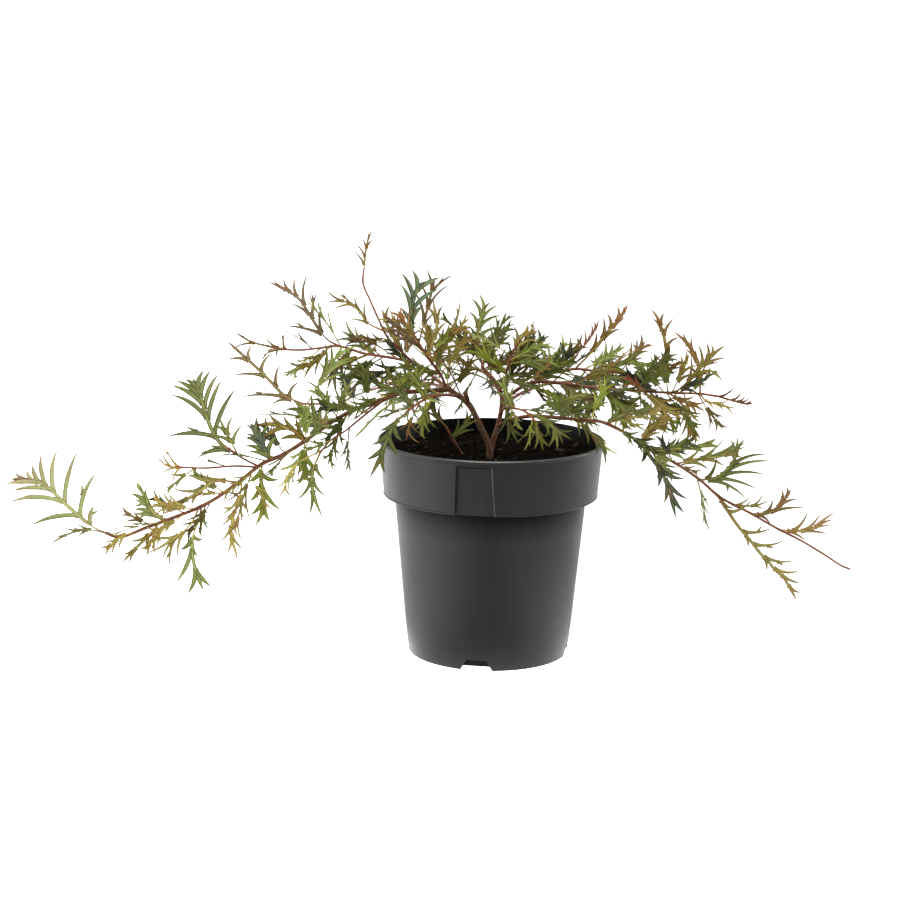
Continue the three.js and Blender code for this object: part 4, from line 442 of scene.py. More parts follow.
# More leaves of that kind: colouring, stem, where on it, heading, length, the two leans, how many pairs of
# lobes, and the width of a lobe in mm.
MORE_LEAVES = [
    ("dark", "left_low_limb", 357, 408, 112, 36, -0.5, 0.4, 3, 3.0),
    ("green", "left_mid_stalk", 307, 402, 56, 60, 0.3, 0.4, 4, 2.7),
    ("dark", "left_low_limb", 352, 410, 172, 30, 0.5, 0.4, 2, 2.7),
    ("pale", "left_low_limb", 306, 439, 98, 30, 0.4, -0.5, 3, 3.2),
    ("umber", "tall_stem", 390, 343, 176, 38, 0.3, 0.5, 2, 2.4),
    ("dark", "left_low_limb", 398, 391, 62, 30, -0.5, 0.3, 2, 2.5),
    ("dark", "left_upper_limb", 410, 364, 196, 52, 0.5, 0.4, 3, 2.7),
    ("green", "left_low_limb", 390, 394, 200, 40, 0.6, -0.4, 3, 2.4),
    ("green", "left_upper_limb", 384, 357, 208, 46, 0.6, -0.5, 3, 3.0),
    ("olive", "left_upper_limb", 368, 354, 200, 36, 0.4, 0.5, 3, 2.5),
    ("olive", "crown_left_stem", 422, 352, 138, 44, -0.5, 0.3, 3, 2.4),
    ("bronze", "crown_left_stem", 418, 344, 128, 34, 0.4, 0.4, 3, 2.4),
    ("gold", "crown_left_stem", 432, 362, 100, 34, 0.6, -0.4, 3, 2.5),
    ("dark", "left_upper_limb", 414, 366, 140, 34, 0.6, 0.3, 3, 2.7),
    ("green", "left_upper_limb", 424, 371, 222, 38, 0.7, 0.3, 3, 2.8),
    ("pale", "left_low_limb", 434, 388, 170, 44, 0.6, 0.3, 3, 3.1),
    ("gold", "left_fork", 452, 391, 52, 36, 0.6, -0.4, 3, 2.5),
    ("olive", "crown_left_stem", 440, 376, 60, 44, 0.5, 0.3, 3, 2.7),
    ("green", "crown_middle_stem", 483, 364, 128, 40, 0.4, -0.4, 3, 2.7),
    ("pale", "crown_middle_stem", 484, 368, 84, 26, 0.7, 0.3, 2, 2.4),
    ("olive", "right_fork", 484, 372, 30, 36, 0.6, 0.4, 3, 2.5),
    ("green", "crown_right_stem", 503, 384, 62, 46, 0.4, -0.4, 3, 2.9),
    ("green", "right_upper_limb", 508, 380, 20, 38, 0.7, 0.3, 3, 2.8),
    ("dark", "right_upper_limb", 530, 373, 88, 34, -0.3, 0.5, 3, 2.8),
    ("green", "right_middle_limb", 536, 382, 26, 40, 0.6, -0.4, 3, 2.9),
    ("dark", "right_middle_limb", 548, 382, -44, 50, 0.6, 0.4, 3, 2.7),
    ("green", "right_upper_limb", 588, 371, -10, 38, 0.5, 0.4, 3, 2.8),
    ("green", "right_upper_limb", 548, 371, 160, 34, 0.5, 0.4, 3, 2.7),
    ("fresh", "right_upper_limb", 572, 370, 168, 34, 0.7, -0.3, 3, 2.5),
    ("green", "right_middle_limb", 664, 392, 130, 32, 0.5, 0.4, 3, 3.0),
    ("green", "right_middle_limb", 668, 392, 97, 30, 0.6, -0.4, 3, 3.0),
    ("olive", "right_middle_limb", 672, 392, 62, 36, 0.4, 0.4, 3, 2.8),
    ("dark", "right_middle_limb", 658, 392, 152, 34, 0.4, 0.4, 3, 2.9),
    ("green", "right_middle_limb", 666, 392, -52, 52, 0.5, -0.4, 3, 2.9),
    ("olive", "right_middle_limb", 684, 393, -78, 40, 0.6, 0.4, 3, 2.8),
    ("olive", "right_low_limb", 606, 424, 14, 52, 0.5, 0.4, 3, 2.4),
    ("dark", "right_middle_limb", 648, 392, -30, 30, 0.6, 0.3, 2, 2.8),
    ("fresh", "right_middle_limb", 606, 389, -52, 40, 0.6, 0.4, 3, 2.8),
    ("fresh", "right_middle_limb", 620, 390, -80, 34, 0.6, -0.4, 3, 2.7),
    ("fresh", "right_middle_limb", 596, 388, -104, 34, 0.7, 0.4, 3, 2.7),
    ("red", "right_middle_limb", 646, 391, 148, 22, 0.6, 0.3, 2, 2.3),
    ("bronze", "right_upper_limb", 655, 380, 40, 28, 0.3, 0.4, 3, 2.4),
    ("bronze", "right_upper_limb", 650, 379, 78, 22, -0.4, 0.4, 2, 2.3),
    ("green", "right_upper_limb", 630, 375, 158, 30, -0.4, 0.4, 3, 2.5),
    ("green", "right_upper_limb", 640, 377, 30, 34, 0.4, -0.4, 3, 2.8),
    ("dark", "right_middle_limb", 670, 392, 14, 36, 0.4, 0.4, 2, 3.0),
    ("olive", "right_middle_limb", 698, 394, -60, 38, 0.5, 0.4, 2, 2.3),
    ("green", "right_middle_limb", 636, 391, -54, 46, 0.6, 0.4, 3, 2.8),
    ("dark", "right_low_limb", 672, 461, 112, 24, 0.5, 0.4, 2, 2.5),
    ("olive", "right_low_limb", 640, 444, 48, 36, -0.5, 0.4, 3, 2.5),
    ("green", "right_low_limb", 612, 427, -24, 36, 0.5, 0.4, 2, 2.4),
    ("umber", "right_low_limb", 677, 465, -16, 20, 0.5, 0.3, 2, 1.6),
    ("green", "right_low_limb", 580, 420, 150, 34, 0.6, 0.4, 3, 2.7),
    ("gold", "left_low_limb", 258, 469, 214, 38, 0.5, 0.4, 3, 1.6),
    ("olive", "left_low_limb", 250, 474, -62, 34, 0.5, -0.3, 3, 1.6),
    ("fresh", "left_low_limb", 304, 440, -88, 36, 0.4, 0.3, 3, 3.6),
    ("green", "left_low_limb", 338, 418, 128, 34, 0.5, 0.4, 2, 2.7),
    ("green", "left_low_limb", 284, 452, 132, 32, 0.5, 0.4, 3, 2.7),
    ("dark", "left_low_limb", 270, 460, 118, 36, 0.6, 0.4, 3, 3.0),
    ("olive", "left_low_limb", 212, 503, 232, 36, 0.4, 0.4, 3, 2.5),
    ("green", "left_low_limb", 186, 515, 150, 34, -0.4, 0.4, 3, 2.5),
    ("olive", "left_low_limb", 132, 529, 214, 30, 0.4, 0.4, 3, 2.4),
    ("olive", "left_low_limb", 198, 511, 166, 40, 0.4, 0.4, 3, 2.7),
    ("gold", "left_low_limb", 186, 515, 206, 36, 0.4, -0.4, 3, 2.5),
    ("olive", "left_low_limb", 168, 520, 236, 34, 0.4, 0.3, 3, 2.5),
    ("green", "left_low_limb", 226, 494, 150, 36, -0.4, 0.4, 3, 2.7),
    ("umber", "left_low_limb", 152, 525, 160, 28, 0.4, 0.4, 2, 2.4),
]

# Rows of leaves set in a spiral: the stem, where the row starts and ends as parts of its length, how many
# leaves, the first one's turn in degrees, and the leaves' length in mm.
ROWS = [
    ("back_left_limb", 0.4, 1, 4, 20, 54),
    ("back_right_limb", 0.4, 1, 4, 250, 54),
    ("back_middle_limb", 0.5, 1, 3, 60, 50),
    ("front_left_limb", 0.7, 0.95, 1, 200, 36),
]

# Narrow leaves between the larger ones: the stem, where they start and end as parts of its length, the space
# from one to the next and their length, both in mm.
FILLERS = [
    ("left_low_limb", 0.05, 0.6, 19.0, 48.0),
    ("left_low_limb", 0.6, 0.93, 32.0, 34.0),
    ("left_side_stalk", 0.2, 0.9, 29.0, 26.0),
    ("left_mid_stalk", 0.2, 1.0, 22.0, 34.0),
    ("left_under_stem", 0.2, 1.0, 22.0, 36.0),
    ("left_upper_limb", 0.05, 0.75, 18.0, 44.0),
    ("left_upper_limb", 0.75, 1.0, 29.0, 24.0),
    ("tall_stem", 0.05, 0.5, 22.0, 30.0),
    ("crown_left_stem", 0.05, 0.9, 10.0, 46.0),
    ("crown_middle_stem", 0.0, 0.9, 8.0, 46.0),
    ("crown_right_stem", 0.05, 0.9, 10.0, 46.0),
    ("right_fork", 0.55, 1.0, 13.0, 42.0),
    ("left_fork", 0.8, 1.0, 14.0, 42.0),
    ("front_stem", 0.1, 1.0, 16.0, 38.0),
    ("right_upper_limb", 0.05, 1.0, 19.0, 48.0),
    ("right_middle_limb", 0.08, 0.85, 26.0, 46.0),
    ("right_middle_limb", 0.85, 1.0, 22.0, 22.0),
    ("right_low_limb", 0.1, 0.62, 27.0, 46.0),
    ("back_left_limb", 0.3, 1.0, 16.0, 46.0),
    ("back_right_limb", 0.3, 1.0, 16.0, 46.0),
    ("back_middle_limb", 0.3, 1.0, 16.0, 46.0),
    ("front_left_limb", 0.3, 1.0, 19.0, 38.0),
]

# The colourings that each node's plain leaves take, in turn or by a draw.
NODE_LOOKS = {
    "left_low_spray": ("green", "olive", "fresh", "green"),
    "left_upper_spray": ("green", "fresh", "umber", "bronze"),
    "tall_shoot": ("gold", "red"),
    "crown_left": ("green", "olive", "umber", "fresh"),
    "crown_middle": ("green", "olive", "dark"),
    "crown_right": ("fresh", "olive", "green"),
    "front_shoot": ("fresh", "green"),
    "right_upper_spray": ("green", "dark", "olive", "bronze"),
    "right_middle_spray": ("green", "fresh", "olive", "bronze"),
    "right_low_spray": ("green", "fresh", "olive"),
    "back_left_spray": ("green", "dark", "olive"),
    "back_right_spray": ("green", "dark", "fresh"),
    "back_middle_spray": ("dark", "green"),
    "front_left_spray": ("fresh", "green"),
}
FORK_LOOKS = ("green", "olive")

# The step along a stem's line, in the view's units.
STEM_STEP = 3.0

# Seeds of the draws, and how the leaves that are laid or stood on the stems grow.
TABLE_SEED = 3000
PLAIN_PAIRS = 3
PLAIN_WIDTH = 2.7
PLAIN_SHAPE_SEED = 900
PLAIN_LOOK_SEED = 4000
PLAIN_SEED = 4100
MORE_SHAPE_SEED = 8000
MORE_CURL_SEED = 8200
MORE_SEED = 8400
ROW_PAIRS = 3
ROW_WIDTH = 2.3
ROW_SEED = 500
ROW_STEP = 40
FILL_SEED = 5000
FILL_STEP = 100
FILL_WIDTH = 2.3
FILL_LONG = 36
SPIRAL = 137.5
LEAF_RISE = 0.85
LEAF_DROOP = 0.14

# The form of a leaf: angles in radians, thicknesses and steps in mm, and breadths as shares of the blade's.
LOBE_ANGLE = 0.66
TOOTH_ANGLE = 0.7
BLADE_FOLD = 0.18
BLADE_CURL = 0.006
BLADE_THICKNESS = 0.42
MARGIN_THICKNESS = 0.45
VEIN_DEPTH = 0.08
BROAD_WIDTH = 3.15
ROOT_BREADTH = 1.3
RIB_STEP = 2.2
BLADE_STEP = 2.4
STALK_STEP = 3.2
STALK_SIDES = 6
STALK_GIRTH = 0.78
LOBE_OVERREACH = 1.08
LONG_LOBE = 9
ACROSS = (-1.0, -0.55, 0.0, 0.55, 1.0)


def linear(code):
    """A colour written as six hex digits, in linear light."""
    parts = [int(code[i:i + 2], 16) / 255 for i in (0, 2, 4)]
    return tuple(p / 12.92 if p <= 0.04045 else ((p + 0.055) / 1.055) ** 2.4 for p in parts)


def grey(value):
    return (value, value, value)


def mixed(a, b, part):
    return tuple(x + (y - x) * part for x, y in zip(a, b))


# Leaf colourings: blade, blade at the leaf's tip, vein, margin, underside.
LOOKS = {
    "green": ("465b27", "5a6a2b", "92964e", "6c5028", "5e6b37"),
    "dark": ("2d4230", "3b5032", "7a8250", "4c4029", "4a5c3c"),
    "fresh": ("5a7226", "707a28", "9ea44c", "7c5e25", "707e38"),
    "pale": ("647a3a", "7a8640", "a8aa60", "80663a", "848f55"),
    "far": ("60703e", "7c5a44", "949a5c", "7e4a3c", "787a4e"),
    "olive": ("5f6028", "765a2b", "9a984c", "80442a", "726a3b"),
    "gold": ("767835", "86622c", "a69e50", "884a2b", "857841"),
    "bronze": ("665a2c", "80472c", "968c48", "803726", "766a40"),
    "umber": ("504828", "5c3a28", "827844", "5e3220", "604c32"),
    "rust": ("5e562b", "78392d", "8c7a44", "742a26", "6e4e35"),
    "red": ("6e482b", "803430", "90683f", "7c2a28", "7c4b34"),
    "amber": ("8c7638", "946032", "a8944a", "8e4629", "987642"),
}
LOOKS = {name: tuple(linear(code) for code in codes) for name, codes in LOOKS.items()}
OLD_BARK = linear("64492f")
YOUNG_BARK = linear("84492f")
SHOOT_BARK = linear("98583a")
DARK_SOIL = linear("0f0d0a")
BROWN_SOIL = linear("211b13")
PALE_CHIP = linear("5c4a38")
RED_CHIP = linear("221710")

# How light a leaf of the table is, by the mark after its colouring's name: partly the leaf's own tone and
# partly painted light and shade, darker for a leaf in shadow and lighter for a lit one. A plain leaf's is
# drawn.
TONE_AND_PAINTED_SHADE = {"--": 0.52, "-": 0.74, "": 0.94, "+": 1.15, "++": 1.38}


def draws(seed):
    """Seeded draws from 0 to 1."""
    state = seed & 0xFFFFFFFF

    def draw():
        nonlocal state
        state = (state + 0x6D2B79F5) & 0xFFFFFFFF
        t = state
        t = ((t ^ (t >> 15)) * (t | 1)) & 0xFFFFFFFF
        t ^= (t + (((t ^ (t >> 7)) * (t | 61)) & 0xFFFFFFFF)) & 0xFFFFFFFF
        return ((t ^ (t >> 14)) & 0xFFFFFFFF) / 4294967296

    return draw


class Shell:
    """Points in mm, faces and a tint for each point, gathered for one piece."""

    def __init__(self):
        self.points = []
        self.faces = []
        self.tints = []

    def rings(self, rings, tints, flip, tip=None, tip_tint=None):
        """A closed skin over rings of equal size. It ends in a point where tip is given."""
        start = len(self.points)
        size = len(rings[0])
        for ring, tint in zip(rings, tints):
            self.points.extend(ring)
            self.tints.extend(tint)
        faces = []
        for i in range(len(rings) - 1):
            for k in range(size):
                a = start + i * size + k
                b = start + i * size + (k + 1) % size
                faces.append((a, b, b + size, a + size))
        faces.append(tuple(start + k for k in reversed(range(size))))
        last = start + (len(rings) - 1) * size
        if tip is None:
            faces.append(tuple(last + k for k in range(size)))
        else:
            self.points.append(tip)
            self.tints.append(tip_tint)
            end = len(self.points) - 1
            faces.extend((last + k, last + (k + 1) % size, end) for k in range(size))
        self.faces.extend(tuple(reversed(face)) if flip else face for face in faces)

    def make(self, name, material, angle):
        """The gathered skin as a Blender object, in metres, sharp where its faces turn by more than angle."""
        mesh = bpy.data.meshes.new(name)
        mesh.from_pydata([(x * MM, y * MM, z * MM) for x, y, z in self.points], [], self.faces)
        mesh.validate()
        tint = mesh.color_attributes.new("tint", "FLOAT_COLOR", "POINT")
        tint.data.foreach_set("color", [c for t in self.tints for c in (*t, 1.0)])
        mesh.polygons.foreach_set("use_smooth", [True] * len(mesh.polygons))
        mesh.set_sharp_from_angle(angle=angle)
        mesh.materials.append(material)
        obj = bpy.data.objects.new(name, mesh)
        bpy.context.collection.objects.link(obj)
        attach(obj, "root")
        return obj


def smoothed(points, spacing):
    """A line through the points, with centripetal Catmull-Rom spans, in steps of about spacing."""
    first = [2 * a - b for a, b in zip(points[0], points[1])]
    last = [2 * a - b for a, b in zip(points[-1], points[-2])]
    padded = [first, *points, last]
    line = []
    for i in range(len(points) - 1):
        p = padded[i:i + 4]
        gaps = [max(math.dist(p[k], p[k + 1]) ** 0.5, 1e-4) for k in range(3)]
        steps = max(1, round(math.dist(p[1], p[2]) / spacing))
        for step in range(steps):
            t = step / steps
            value = []
            for x0, x1, x2, x3 in zip(*p):
                t1 = (x1 - x0) / gaps[0] - (x2 - x0) / (gaps[0] + gaps[1]) + (x2 - x1) / gaps[1]
                t2 = (x2 - x1) / gaps[1] - (x3 - x1) / (gaps[1] + gaps[2]) + (x3 - x2) / gaps[2]
                t1 *= gaps[1]
                t2 *= gaps[1]
                c2 = -3 * x1 + 3 * x2 - 2 * t1 - t2
                c3 = 2 * x1 - 2 * x2 + t1 + t2
                value.append(x1 + t1 * t + c2 * t * t + c3 * t ** 3)
            line.append(tuple(value))
    line.append(tuple(points[-1]))
    return line


def spans(line):
    """Each span of a line on the view: its two ends, its length and its direction."""
    for a, b in zip(line, line[1:]):
        length = math.hypot(b[0] - a[0], b[1] - a[1])
        yield a, b, length, (b[0] - a[0]) / length, (b[1] - a[1]) / length


def length_of(line):
    return sum(length for _, _, length, _, _ in spans(line))


def nearest(line, x, y):
    """The nearest place on a line to a point: how far along, where, how far off, and if the point is left."""
    best = None
    passed = 0.0
    for a, b, length, dx, dy in spans(line):
        along = min(max((x - a[0]) * dx + (y - a[1]) * dy, 0.0), length)
        off = math.hypot(x - (a[0] + dx * along), y - (a[1] + dy * along))
        if best is None or off < best["off"]:
            left = dx * (y - a[1]) - dy * (x - a[0]) > 0
            place = mixed(a, b, along / length)
            best = {"s": passed + along, "place": place, "off": off, "left": left}
        passed += length
    return best


def point_at(line, s):
    """The point at a distance along a line, and the line's direction there."""
    for a, b, length, dx, dy in spans(line):
        if s <= length or b is line[-1]:
            return a[0] + dx * s, a[1] + dy * s, dx, dy
        s -= length


stems = {}
for name, node, thick, thin, route in STEMS:
    line = smoothed(route, STEM_STEP)
    places = [Vector(seen(*p)) for p in line]
    stems[name] = {"node": node, "thick": thick, "thin": thin, "line": line, "places": places, "feet": []}

leaves = {}
bark = {}


def shell_of(shells, node):
    return shells.setdefault(node, Shell())


# Leaves

def lens(t, root, widest):
    """The breadth of a broad lobe at a part of its length: narrower at its root, a sharp point at its tip."""
    if t < widest:
        return root + (1.0 - root) * math.sin(math.pi / 2 * t / widest)
    return max(0.0, 1.0 - ((t - widest) / (1.0 - widest)) ** 1.3)


def taper(t):
    """The breadth of a narrow lobe at a part of its length: it thins steadily to a long sharp point."""
    return max(0.0, 1.0 - t ** 1.5) ** 0.9


def web(t):
    """The flare that joins a lobe to the blade along the rib."""
    return 0.75 * math.exp(-t / 0.085)


class Leaf:
    """A deeply cut leaf on a flat rib, added to a shell as it is made.

    Its lobes are (tip, root or None, teeth) in the rib's units, of which unit make 1 mm. place takes a flat
    point and a height in mm over the blade to a place in space.
    """

    def __init__(self, shell, look, rib, lobes, width, unit, place, flip, seed, stalk=STALK_GIRTH, tone=None):
        self.shell = shell
        self.unit = unit
        self.place = place
        self.flip = flip
        self.tints = LOOKS[look]
        self.draw = draws(seed)
        chance = self.draw()
        # Its lightness: drawn, or for a table leaf its mark, which is partly painted light and shade.
        self.shade = (0.44 + 1.02 * chance) if tone is None else tone * (0.95 + 0.1 * chance)
        self.broad = width >= BROAD_WIDTH
        self.rib = smoothed(rib, RIB_STEP * unit)
        self.total = length_of(self.rib)
        self.span = width * ROOT_BREADTH * unit
        rows = self.spaced(lobes)
        feet = [s for s, tip, teeth in rows]
        self.first = min(feet) if feet else self.total * 0.3
        self.last = max(feet) if feet else self.total * 0.5
        self.start = max(self.first - self.span * 1.3, 0.0)
        self.add_blade()
        self.add_stalk(stalk)
        for row in rows:
            self.add_lobe(*row)

    def spaced(self, lobes):
        """Each lobe's start along the rib, its tip and its teeth, with room between those on one side."""
        sides = {True: [], False: []}
        for tip, root, teeth in lobes:
            near = nearest(self.rib, *tip)
            slid = near["s"] - near["off"] / math.tan(LOBE_ANGLE)
            s = slid if root is None else nearest(self.rib, *root)["s"]
            sides[near["left"]].append([s, tip, teeth])
        room = self.span * 1.15
        for rows in sides.values():
            rows.sort(key=lambda row: row[0])
            highest = self.total - self.span * 0.7
            for row in reversed(rows):
                row[0] = min(row[0], highest)
                highest = row[0] - room
            lowest = self.span * 0.9
            for row in rows:
                row[0] = max(row[0], lowest)
                lowest = row[0] + room
        return sides[True] + sides[False]

    def painter(self, s0, s1, glow):
        """Tints for a blade that runs from s0 to s1 along the leaf, as parts of its length."""
        blade_tint, tip_tint, vein_tint, margin_tint, under_tint = self.tints

        def paint(t, o, side):
            s = s0 + (s1 - s0) * t
            young = min(1.0, max(0.0, 0.75 * s + 0.45 * t - 0.3))
            tint = mixed(blade_tint, tip_tint, young * young)
            if side < 0:
                tint = mixed(tint, under_tint, 0.6)
            if abs(o) > 0.9:
                tint = mixed(tint, margin_tint, 0.7 if t < 0.9 else 0.85)
            elif o == 0.0:
                tint = mixed(tint, vein_tint, 0.55 * (1.0 - 0.5 * t))
            return tuple(c * self.shade * glow for c in tint)

        return paint

    def ribbon(self, centres, widths, paint, bend):
        """A thin blade along a line of flat centres: widths are half widths, and it ends in a point.

        bend gives the rise in mm at a part of its length and a place across it.
        """
        count = len(centres)
        rings = []
        tints = []
        for i in range(count - 1):
            a = centres[max(i - 1, 0)]
            b = centres[i + 1]
            length = math.hypot(b[0] - a[0], b[1] - a[1])
            nx = -(b[1] - a[1]) / length
            ny = (b[0] - a[0]) / length
            t = i / (count - 1)
            x, y = centres[i]
            ring = []
            tint = []
            for side, row in ((1, ACROSS), (-1, ACROSS[::-1])):
                for o in row:
                    body = BLADE_THICKNESS * (1.0 if abs(o) < 0.9 else MARGIN_THICKNESS)
                    h = bend(t, o) + side * body / 2
                    if o == 0.0 and side > 0:
                        h -= VEIN_DEPTH
                    ring.append(self.place(x + nx * o * widths[i], y + ny * o * widths[i], h))
                    tint.append(paint(t, o, side))
            rings.append(ring)
            tints.append(tint)
        tip = self.place(*centres[-1], bend(1.0, 0.0))
        self.shell.rings(rings, tints, self.flip, tip, paint(1.0, 1.0, 1))

    def add_blade(self):
        """The blade along the rib, and the lobe that ends it."""
        steps = max(8, round(self.total / (BLADE_STEP * self.unit)))
        centres = []
        widths = []
        for i in range(steps + 1):
            s = self.start + (self.total - self.start) * i / steps
            centres.append(point_at(self.rib, s)[:2])
            if s < self.last:
                grow = min(1.0, (s - self.start) / max(self.span * 1.6, 0.01))
                widths.append(self.span * (0.08 + (0.34 - 0.08 * s / self.total) * grow))
            else:
                t = (s - self.last) / max(self.total - self.last, 0.01)
                widths.append(self.span * (0.5 * lens(t, 0.66, 0.3) if self.broad else 0.42 * taper(t)))
        self.wave = (self.draw() - 0.5) * 0.5
        self.ribbon(centres, widths, self.painter(self.start / self.total, 1.0, 1.0), self.flat)

    def flat(self, t, o):
        """The rise of the blade along the rib: a shallow trough with a slow wave."""
        return 0.22 * abs(o) + self.wave * math.sin(5.0 * t) * 0.8

    def add_stalk(self, stalk):
        """The stalk and rib: round below, and a low ridge on the blade."""
        vein_tint, margin_tint = self.tints[2:4]
        rings = []
        tints = []
        steps = max(6, round(self.total / (STALK_STEP * self.unit)))
        for i in range(steps):
            s = self.total * 0.93 * i / (steps - 1)
            x, y, dx, dy = point_at(self.rib, s)
            part = s / self.total
            girth = stalk * (1.0 - 0.74 * part)
            ridge = mixed(mixed(margin_tint, vein_tint, 0.2), vein_tint, min(1.0, part * 2.2))
            wave = self.flat(min(1.0, max(0.0, (s - self.start) / (self.total - self.start))), 0.0)
            ring = []
            for k in range(STALK_SIDES):
                turn = 2 * math.pi * (k + 0.5) / STALK_SIDES
                o = girth * math.cos(turn) * self.unit
                h = girth * math.sin(turn) * (1.0 if s < self.first else 0.75) + wave - 0.12
                ring.append(self.place(x - dy * o, y + dx * o, h))
            rings.append(ring)
            tints.append([tuple(c * self.shade for c in ridge)] * STALK_SIDES)
        self.shell.rings(rings, tints, self.flip)

    def add_lobe(self, s, tip, teeth):
        """A lobe from its start along the rib to its tip, bowed a little, and the teeth on its sides."""
        rx, ry, rdx, rdy = point_at(self.rib, s)
        reach = math.hypot(tip[0] - rx, tip[1] - ry)
        dx = (tip[0] - rx) / reach
        dy = (tip[1] - ry) / reach
        reach *= LOBE_OVERREACH
        bow = (0.03 + 0.07 * self.draw()) * reach * (1 if dx * rdy - dy * rdx > 0 else -1)
        half = min(self.span * (0.47 if self.broad else 0.46), reach * 0.13 + 0.4 * self.unit)
        sx, sy, _, _ = point_at(self.rib, s - min(self.span * 0.85, s))

        def middle(t):
            side = bow * 4 * t * (1 - t)
            return rx + dx * reach * t - dy * side, ry + dy * reach * t + dx * side

        centres = []
        widths = []
        steps = 9 if reach > LONG_LOBE * self.unit else 7
        for i in range(steps + 1):
            t = (i / steps) ** 1.15
            early = (1 - t) ** 3
            x, y = middle(t)
            centres.append((x + (sx - rx) * early, y + (sy - ry) * early))
            widths.append(half * ((lens(t, 0.55, 0.4) if self.broad else 0.95 * taper(t)) + web(t)))
        lift = (self.draw() - 0.45) * 2.6 * reach / (18 * self.unit)
        twist = (self.draw() - 0.5) * 0.9 * half / self.unit
        cup = 0.3 + 0.35 * self.draw()

        def bend(t, o):
            return lift * t * t + twist * t * o + cup * abs(o) * half / self.unit * 0.6 * min(1.0, 3 * t)

        glow = 0.88 + 0.24 * self.draw()
        part = s / self.total
        self.ribbon(centres, widths, self.painter(part, min(1.0, part + 0.35), glow), bend)
        for tx, ty in teeth:
            along = (tx - rx) * dx + (ty - ry) * dy
            off = (tx - rx) * dy - (ty - ry) * dx
            base = 0.96 * min(max((along - abs(off) / math.tan(TOOTH_ANGLE)) / reach, 0.2), 0.78)
            self.add_tooth(middle(base), (tx, ty), half, bend(base, 0.0), lift, self.painter(part, 1.0, glow))

    def add_tooth(self, root, tip, half, rise, lift, paint):
        """A straight narrow tooth from the middle of a lobe to its tip."""
        length = math.hypot(tip[0] - root[0], tip[1] - root[1])
        steps = 5
        parts = [i / steps for i in range(steps + 1)]
        widths = [min(half * 0.8, length * 0.25) * (taper(t) + web(t)) for t in parts]

        def rising(t, o):
            return rise + lift * 0.5 * t + 0.15 * abs(o)

        self.ribbon([mixed(root, tip, t) for t in parts], widths, paint, rising)


def view_place(foot, rib, along, across, curl):
    """Where a flat point of the view goes on a leaf that leans from its foot, lifted h mm off its face."""
    tip = rib[-1]
    reach = math.hypot(tip[0] - rib[0][0], tip[1] - rib[0][1])
    ex = (tip[0] - rib[0][0]) / reach
    ey = (tip[1] - rib[0][1]) / reach
    slant = math.sqrt(1 + along * along + across * across)

    def place(x, y, h):
        a = ((x - foot[0]) * ex + (y - foot[1]) * ey) / UNITS_PER_MM
        b = ((y - foot[1]) * ex - (x - foot[0]) * ey) / UNITS_PER_MM
        fold = BLADE_FOLD * (math.sqrt(b * b + 1.0) - 1.0)
        toward = foot[2] + along * a + across * b + fold + curl * a * a
        return seen(x, y, toward + h * slant)

    return place


def curl_of(chance):
    """How much a leaf curls to the eye or away, from a draw."""
    return (chance - 0.5) * BLADE_CURL * 2


def table_leaf(index, look, stem_name, along, across, width, rib, lobes):
    """A leaf of the table LEAVES. The first one, at the far left, has the broadest lobes."""
    stem = stems[stem_name]
    foot = nearest(stem["line"], *rib[0])["place"]
    kept = rib if math.dist(rib[0], foot[:2]) > 3 else rib[1:]
    rib = [foot[:2], *kept]
    stem["feet"].append(nearest(stem["line"], *foot[:2])["s"])
    parts = []
    for lobe in lobes:
        points = [tuple(lobe[i:i + 2]) for i in range(0, len(lobe), 2)]
        parts.append((points[0], points[1] if points[1:] else None, points[2:]))
    place = view_place(foot, rib, along, across, curl_of(draws(index + 1)()))
    full = max(width * 1.3, 1.8) if width < 1.7 else 0.55 * width + (1.65 if index else 2.6)
    kind = look.rstrip("+-")
    tone = TONE_AND_PAINTED_SHADE[look[len(kind):]]
    shell = shell_of(leaves, stem["node"])
    seed = TABLE_SEED + index
    Leaf(shell, kind, rib, parts, full, UNITS_PER_MM, place, True, seed, 0.8 + 0.12 * width, tone)


def plain_leaf(length, pairs, draw):
    """A plain leaf's rib and lobes, flat along x, in mm: a bare stalk, then pairs of lobes."""
    bend = (draw() - 0.5) * 0.26 * length

    def spot(part):
        return (part * length, bend * part * part)

    bare = 0.26 + 0.12 * draw()
    lobes = []
    for i in range(pairs):
        for side in (1, -1):
            if i and draw() > 0.9:
                continue
            step = i + 0.25 * draw() + (0.2 if side > 0 else 0.0)
            part = bare + (0.84 - bare) * step / max(pairs - 0.75, 1)
            reach = length * (0.46 - 0.3 * (part - 0.22)) * (0.75 + 0.45 * draw())
            lean = 0.5 + 0.34 * draw()
            dx = math.cos(lean)
            dy = side * math.sin(lean)
            x, y = spot(min(part, 0.86))
            teeth = []
            if reach > 11 and draw() > 0.5:
                out = 0.24 * (1 if draw() > 0.3 else -1)
                cut = 0.62 + 0.16 * draw()
                tooth = (dx * cut - side * dy * out, dy * cut + side * dx * out)
                teeth.append((x + reach * tooth[0], y + reach * tooth[1]))
            lobes.append(((x + reach * dx, y + reach * dy), (x, y), teeth))
    return [spot(part) for part in (0, 0.3, 0.65, 1)], lobes


